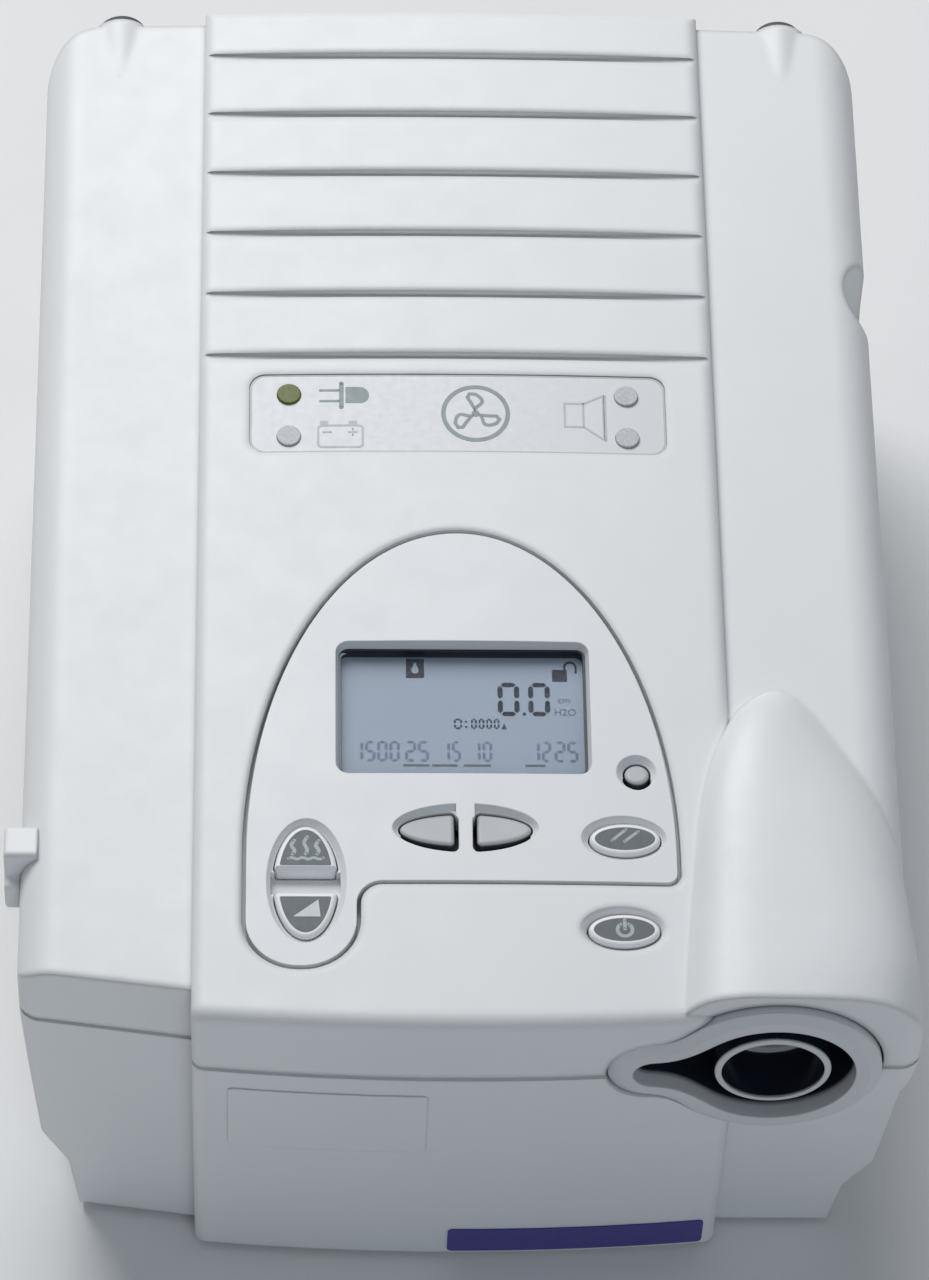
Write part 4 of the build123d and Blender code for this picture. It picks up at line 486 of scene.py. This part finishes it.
# Finishes by the material slot of the CAD nodes
MATERIALS = {
    "case_white": moulded("case_white", CASE_WHITE, 0.42, dust_and_shade_share=0.18, edge=0.9),
    "panel_white": moulded("panel_white", (0.79, 0.80, 0.815), 0.40, dust_and_shade_share=0.12),
    "key_white": moulded("key_white", (0.86, 0.87, 0.88), 0.38, depth=0.003, dust_and_shade_share=0.2, edge=0.2),
    "inlay_grey": printed("inlay_grey", (0.11, 0.13, 0.145), 0.45),
    "lcd_blue_grey": display_face("lcd_blue_grey", DISPLAY_FIELD),
    "backlight_white": moulded("backlight_white", (0.85, 0.85, 0.82), 0.5),
    "label_grey": printed("label_grey", (0.70, 0.715, 0.74), 0.34, 0.015),
    "light_green": lens("light_green", (0.075, 0.095, 0.006), (0.06, 0.075, 0.004)),
    "light_clear": lens("light_clear", (0.54, 0.555, 0.575)),
    "strip_blue": printed("strip_blue", (0.055, 0.045, 0.27), 0.35, 0.06),
    "rubber_grey": rubber("rubber_grey", (0.10, 0.10, 0.11)),
    "rubber_dark": rubber("rubber_dark", (0.035, 0.035, 0.037)),
    "mat_silicone": rubber("mat_silicone", (0.03, 0.03, 0.035)),
    "board_green": circuit_board("board_green", (0.02, 0.16, 0.07)),
    "component_black": moulded("component_black", (0.03, 0.03, 0.035), 0.5, mottle=0.2),
    "connector_black": moulded(
        "connector_black", (0.032, 0.032, 0.034), 0.45, depth=0.01, mottle=0.15
    ),
    "pin_brass": metal("pin_brass", (0.75, 0.60, 0.32), 0.28, (1, 0.1, 1)),
    "steel": metal("steel", (0.60, 0.60, 0.61), 0.3),
    "core_steel": metal("core_steel", (0.30, 0.30, 0.32), 0.5, (1, 1, 30)),
    "magnet": metal("magnet", (0.30, 0.30, 0.31), 0.45),
    "winding_copper": metal("winding_copper", (0.72, 0.36, 0.18), 0.35, (1, 1, 20)),
    "duct_grey": moulded("duct_grey", (0.35, 0.36, 0.37), 0.5),
    "impeller_white": moulded("impeller_white", (0.75, 0.75, 0.74), 0.45),
    "foam_grey": open_foam("foam_grey", (0.20, 0.20, 0.21)),
    "filter_white": open_foam("filter_white", (0.80, 0.80, 0.78)),
    "tube_clear": rubber("tube_clear", (0.62, 0.63, 0.62), 0.3),
    "ribbon_grey": moulded("ribbon_grey", (0.45, 0.46, 0.47), 0.45),
    "window_clear": window_sheet("window_clear"),
}


def plain_key(name):
    """A plain key: pale top, its walls painted dark below it as the shade in the gap round the
    key.
    """
    x, y = PLAIN_KEYS[name]
    middle = top_point(x, y, crown(x) + PLAIN_KEY_H) / MM
    return moulded(
        "key_" + name, (0.47, 0.485, 0.505), 0.45, depth=0.003, edge=0.3, dust_and_shade_share=0.15,
        # Painted shade on the key's walls below its top
        dark=(middle, KEY_UP, -0.30, -0.60),
    )


# Finishes of single nodes, which need more than their slot's
FINISHES = {
    # Collar and port: painted shade inside the recess and along the tube, with the port's mouth
    # left pale and a painted lit step inside
    "outlet_collar": moulded(
        "collar_white", (0.68, 0.69, 0.71), 0.36, edge=0.6, dark=(FRONT_AT, OUT, -0.3, -1.5)
    ),
    "outlet_port": moulded(
        "tube_white", (0.66, 0.67, 0.68), 0.22, depth=0.002, dark=(FRONT_AT, OUT, 1.15, 0.65),
        step=(-9.6, -8.8),
    ),
    "top_cover": moulded("cover_white", CASE_WHITE, 0.42, dust_and_shade_share=0.15, edge=2.2),
    "left_key": plain_key("left"),
    "right_key": plain_key("right"),
    "light_key": plain_key("light"),
    "front_plate": moulded("plate_white", CASE_WHITE, 0.40, dust_and_shade_share=0.15),
}
slots = {row["node"]: row["material_slot"] for row in frame["record"]["subparts"]}
for name, node in nodes.items():
    node.data.materials.clear()
    node.data.materials.append(FINISHES.get(name) or MATERIALS[slots[name]])

ink_black = printed("ink_segments", (0.006, 0.008, 0.026), 0.6, Specular_IOR_Level=0.12)
ink_faint = printed("ink_faint", (0.15, 0.18, 0.29), 0.6)
ink_mid = printed("ink_mid", (0.028, 0.037, 0.07), 0.6, Specular_IOR_Level=0.12)
ink_unit = printed("ink_unit", (0.09, 0.11, 0.16), 0.6)
ink_field = printed("ink_field", DISPLAY_FIELD, 0.45)
ink_grey = printed("ink_grey", (0.26, 0.31, 0.33))
ink_pale = printed("ink_pale", (0.50, 0.53, 0.56))
ink_light = printed("ink_light", (0.40, 0.45, 0.47))
ink_white = printed("ink_white", (0.62, 0.66, 0.68))
mask_black = printed("mask_black", (0.012, 0.014, 0.02), 0.35)

# ---- Display: figures, gasket and window ----

SCREEN = (-23.3, -66.2, 23.5, -38.2)  # left, bottom, right and top of the opening
READING_Y = -51.6  # feet of the large figures
SMALL_Y = -54.6  # feet of the small figures under them
ROW_Y = -62.0  # feet of the lowest row
RULE_Y = -62.8  # the lines under that row
UNIT_SIZE = 2.1
SQUARE = (-10.7, -43.0, -7.2, -38.6)
PADLOCK = (17.5, -43.7, 20.4, -41.0)
FIGURE_GAP = 0.3
SEGMENT_GAP = 0.18  # share of a segment's weight

# Ends of a figure's segments, as shares of its width and height
SEGMENTS = {
    "a": ((0, 1), (1, 1)),
    "b": ((1, 1), (1, 0.5)),
    "c": ((1, 0.5), (1, 0)),
    "d": ((0, 0), (1, 0)),
    "e": ((0, 0.5), (0, 0)),
    "f": ((0, 1), (0, 0.5)),
    "g": ((0, 0.5), (1, 0.5)),
}
DIGITS = {"0": "abcdef", "1": "bc", "2": "abged", "5": "afgcd"}


def digit(ink, figure, x, y, width, height, weight):
    """A seven-segment figure with its lower left corner at x, y."""
    for segment in DIGITS[figure]:
        a, b = (
            Vector(
                (
                    x + weight / 2 + across_share * (width - weight),
                    y + weight / 2 + up_share * (height - weight),
                )
            )
            for across_share, up_share in SEGMENTS[segment]
        )
        along = (b - a).normalized()
        across = Vector((-along.y, along.x)) * weight / 2
        a, b = a + along * weight * SEGMENT_GAP, b - along * weight * SEGMENT_GAP
        tip = along * weight / 2
        ink.plate([a, a + tip - across, b - tip - across, b, b - tip + across, a + tip + across])


def number(ink, figures, left, right, bottom, height, weight):
    """Seven-segment figures side by side between two places."""
    pitch = (right - left + FIGURE_GAP) / len(figures)
    for i, figure in enumerate(figures):
        digit(ink, figure, left + i * pitch, bottom, pitch - FIGURE_GAP, height, weight)


def box(left, bottom, right, top):
    """Outline of a rectangle."""
    return [(left, bottom), (right, bottom), (right, top), (left, top)]


reading = Print(on_display, *DISPLAY_INK)
for x in (6.9, 12.8):
    digit(reading, "0", x, READING_Y, width=4.2, height=7.6, weight=1.0)
reading.disc((12.0, -51.1), 0.35)
# The square that holds the drop, and an open padlock
reading.plate(box(*SQUARE))
reading.plate(box(*PADLOCK))
reading.stroke(
    [(19.9, -41.0), (19.9, -40.4), *arc((21.0, -40.4), 1.1, 180, 0, 10), (22.1, -41.6)], 0.45
)
reading.finish("display_figures", ink_black)

drop = Print(on_display, bottom=0.04, top=0.07)
drop.plate([*arc((-8.95, -41.3), 0.7, -200, 20, 12), (-8.95, -39.4)])
drop.finish("display_drop", ink_field)

small = Print(on_display, *DISPLAY_INK)
digit(small, "0", -1.6, SMALL_Y, width=1.6, height=2.4, weight=0.42)
for y in (-52.9, -54.1):
    small.disc((0.75, y), 0.25, 10)
number(small, "0000", 1.7, 7.2, SMALL_Y, height=2.4, weight=0.4)
small.plate([(7.5, SMALL_Y), (8.6, SMALL_Y), (8.05, -53.2)])
small.finish("display_small_figures", ink_mid)

faint = Print(on_display, *DISPLAY_INK)
for figures, left, right in (
    ("1500", -21.0, -12.0),
    ("25", -11.05, -6.4),
    ("15", -4.1, -0.3),
    ("10", 1.6, 5.7),
    ("12", 13.0, 17.0),
    ("25", 17.6, 22.2),
):
    number(faint, figures, left, right, ROW_Y, height=4.7, weight=0.6)
faint.finish("display_faint_figures", ink_faint)

lines = Print(on_display, *DISPLAY_INK)
for left, right in ((-11.4, -6.4), (-5.9, -1.0), (0.2, 5.4), (12.0, 15.8)):
    lines.stroke([(left, RULE_Y), (right, RULE_Y)], 0.5, round_ends=False)
lines.text("cm", (18.4, -48.6), UNIT_SIZE)
lines.text("H2O", (17.7, -51.4), UNIT_SIZE)
lines.finish("display_units", ink_unit)

left, bottom, right, top = SCREEN
gasket = Print(on_display, bottom=-0.02, top=2.3)
gasket.stroke(rounded(left - 0.5, bottom - 0.1, right + 0.1, top + 0.1, 1.6), 0.4, closed=True)
gasket.finish("display_gasket", mask_black)

WINDOW_LAP = 1.4  # window past the opening
glass = Print(on_display, bottom=0.12, top=1.15)
glass.plate(
    rounded(
        left - WINDOW_LAP, bottom - WINDOW_LAP, right + WINDOW_LAP, top + WINDOW_LAP,
        2 * WINDOW_LAP,
    )
)
window = glass.finish("display_window", MATERIALS["window_clear"])
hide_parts("lcd_window")

# ---- Indicator label ----

FAN_AT = (3.5, 16.7)
BLADE_STEPS = 12
BLADE_SPREAD = 34  # degrees
BLADE_SKEW = 0.75
BLADE_TAPER = 1.02
BLADE_FOOT = 1.2
BLADE_LENGTH = 3.5
SIGN_Y = 12.2  # the battery's plus and minus

# Painted shade: a grey line round the label for the shade at its recessed edge
edge = Print(on_label, bottom=-0.2, top=0.03)
edge.stroke(rounded(-41.0, 7.5, 41.0, 25.9, 3.0), 0.35, closed=True)
edge.finish("label_edge_shade", ink_pale)

plug = Print(on_label, *LABEL_INK)
for y in (22.3, 19.7):
    plug.stroke([(-27.3, y), (-23.6, y)], 0.5)
plug.stroke([(-23.1, 24.0), (-23.1, 18.2)], 0.9)
plug_nose = arc((-19.6, 21.1), 2.0, -75, 75, 12)
plug.plate([(-22.3, 19.2), (-20.1, 19.2), *plug_nose, (-20.1, 23.1), (-22.3, 23.1)])
plug.finish("label_plug", ink_grey)

battery = Print(on_label, *LABEL_INK)
battery.stroke(rounded(-27.7, 8.6, -18.9, 13.8, 0.8), 0.45, closed=True)
for x in (-26.6, -20.9):
    battery.plate(box(x - 0.8, 13.9, x + 0.9, 14.9))
battery.stroke([(-26.7, SIGN_Y), (-25.2, SIGN_Y)], 0.4)
battery.stroke([(-21.6, SIGN_Y), (-20.1, SIGN_Y)], 0.4)
battery.stroke([(-20.85, 11.4), (-20.85, 13.0)], 0.4)
battery.finish("label_battery", ink_pale)

fan = Print(on_label, *LABEL_INK)
fan.stroke(arc(FAN_AT, 6.4, 0, 360, 48)[:-1], 0.9, closed=True)
for turn in (90, 210, 330):
    # A blade's outline as angles and radii: its swept back edge, then its front edge
    blade = [(turn + 8, 1.0)]
    for i in range(BLADE_STEPS + 1):
        share = i / BLADE_STEPS
        spread = BLADE_SPREAD * math.sin(math.pi * min(1.0, share * BLADE_TAPER))
        blade.append((turn - spread * BLADE_SKEW, BLADE_FOOT + share * BLADE_LENGTH))
    blade += [(turn + 14, 4.9), (turn + 22, 4.2), (turn + 18, 2.6)]
    fan.stroke([polar(FAN_AT, radius, angle) for angle, radius in blade], 0.7, closed=True)
fan.disc(FAN_AT, 0.8)
fan.finish("label_fan", ink_grey)

speaker = Print(on_label, *LABEL_INK)
speaker.stroke([(24.9, 19.4), (21.2, 19.4), (21.2, 13.8), (24.9, 13.8), (24.9, 19.4)], 0.45)
speaker.stroke([(24.9, 19.4), (28.9, 21.4), (28.9, 10.8), (24.9, 13.8)], 0.45)
speaker.stroke([(29.2, 21.4), (29.2, 10.7)], 0.6)
speaker.finish("label_speaker", ink_pale)

# ---- Key symbols ----

STEAM_FOOT = -84.8
STEAM_STEPS = 8
WATER_Y = -85.8
POWER_X = 29.7

steam = Print(on_key(SPLIT_KEYS_X), *KEY_INK)
for x, top in ((-32.4, -81.9), (-30.0, -81.1), (-27.8, -81.9)):
    rise = (top - STEAM_FOOT) / STEAM_STEPS
    steam.stroke(
        [(x + 0.3 * math.sin(i * 0.9), STEAM_FOOT + i * rise) for i in range(STEAM_STEPS + 1)],
        0.7,
    )
steam.stroke([(-33.2 + i * 0.5, WATER_Y + 0.2 * math.sin(i * 1.5)) for i in range(14)], 0.6)
steam.finish("humidifier_symbol", ink_light, "humidifier_key")

wedge = Print(on_key(SPLIT_KEYS_X), *KEY_INK)
wedge.plate([(-32.3, -98.4), (-27.2, -98.4), (-27.6, -94.7)])
wedge.finish("ramp_symbol", ink_white, "ramp_key")

strokes = Print(on_key(SILENCE_KEY_X), *KEY_INK)
strokes.stroke([(27.8, -81.6), (30.5, -79.2)], 0.6)
strokes.stroke([(30.2, -81.8), (32.8, -79.6)], 0.6)
strokes.finish("silence_symbol", ink_light, "silence_key")

power = Print(on_key(STANDBY_KEY_X), *KEY_INK)
power.stroke(arc((POWER_X, -101.0), 1.4, 125, 415, 30), 0.7)
power.stroke([(POWER_X, -98.9), (POWER_X, -100.8)], 0.7)
power.finish("standby_symbol", ink_light, "standby_key")

# ---- Floor, light and camera, in metres ----

FLOOR_HALF = 12
LENS = 158.597  # millimetres
CAMERA_AT = (-0.0352668, -0.7282669, 0.9353238)
CAMERA_TURN = (39.4712, -1.6489, -0.9652)  # degrees

floor_mesh = bpy.data.meshes.new("floor")
floor_mesh.from_pydata(
    [(x, y, 0) for x, y in box(-FLOOR_HALF, -FLOOR_HALF, FLOOR_HALF, FLOOR_HALF)],
    [],
    [(0, 1, 2, 3)],
)
floor = bpy.data.objects.new("floor", floor_mesh)
bpy.context.scene.collection.objects.link(floor)
ground = Shader("floor", Roughness=0.7, Specular_IOR_Level=0.2)
patches = ground.noise(60, 3)
ground.use("Base Color", ground.blend(patches, (0.80, 0.80, 0.805), (0.82, 0.82, 0.82)))
floor_mesh.materials.append(ground.material)


def area_light(name, at, aim, size, power, colour=(1, 1, 1)):
    """A round soft light at a place, turned to another."""
    data = bpy.data.lights.new(name, "AREA")
    data.shape = "DISK"
    data.size = size
    data.energy = power
    data.color = colour
    light = bpy.data.objects.new(name, data)
    light.location = at
    light.rotation_mode = "QUATERNION"
    light.rotation_quaternion = (Vector(aim) - Vector(at)).to_track_quat("-Z", "Y")
    bpy.context.scene.collection.objects.link(light)


area_light("overhead", at=(-0.35, 0.82, 1.25), aim=(0, 0, 0.08), size=1.1, power=19)
area_light(
    "front_fill", at=(0.3, -1.6, 1.1), aim=(0, 0, 0.06), size=1.0, power=5.2,
    colour=(0.80, 0.90, 1.0),
)

world = bpy.data.worlds.new("studio")
bpy.context.scene.world = world
world.use_nodes = True
background = world.node_tree.nodes["Background"]
background.inputs["Color"].default_value = (0.86, 0.93, 1.0, 1)
background.inputs["Strength"].default_value = 0.18

camera_data = bpy.data.cameras.new("camera")
camera_data.lens = LENS
camera = bpy.data.objects.new("camera", camera_data)
camera.location = CAMERA_AT
camera.rotation_euler = Euler([math.radians(a) for a in CAMERA_TURN], "XYZ")
bpy.context.scene.collection.objects.link(camera)
bpy.context.scene.camera = camera
bpy.context.scene.view_settings.view_transform = "Standard"
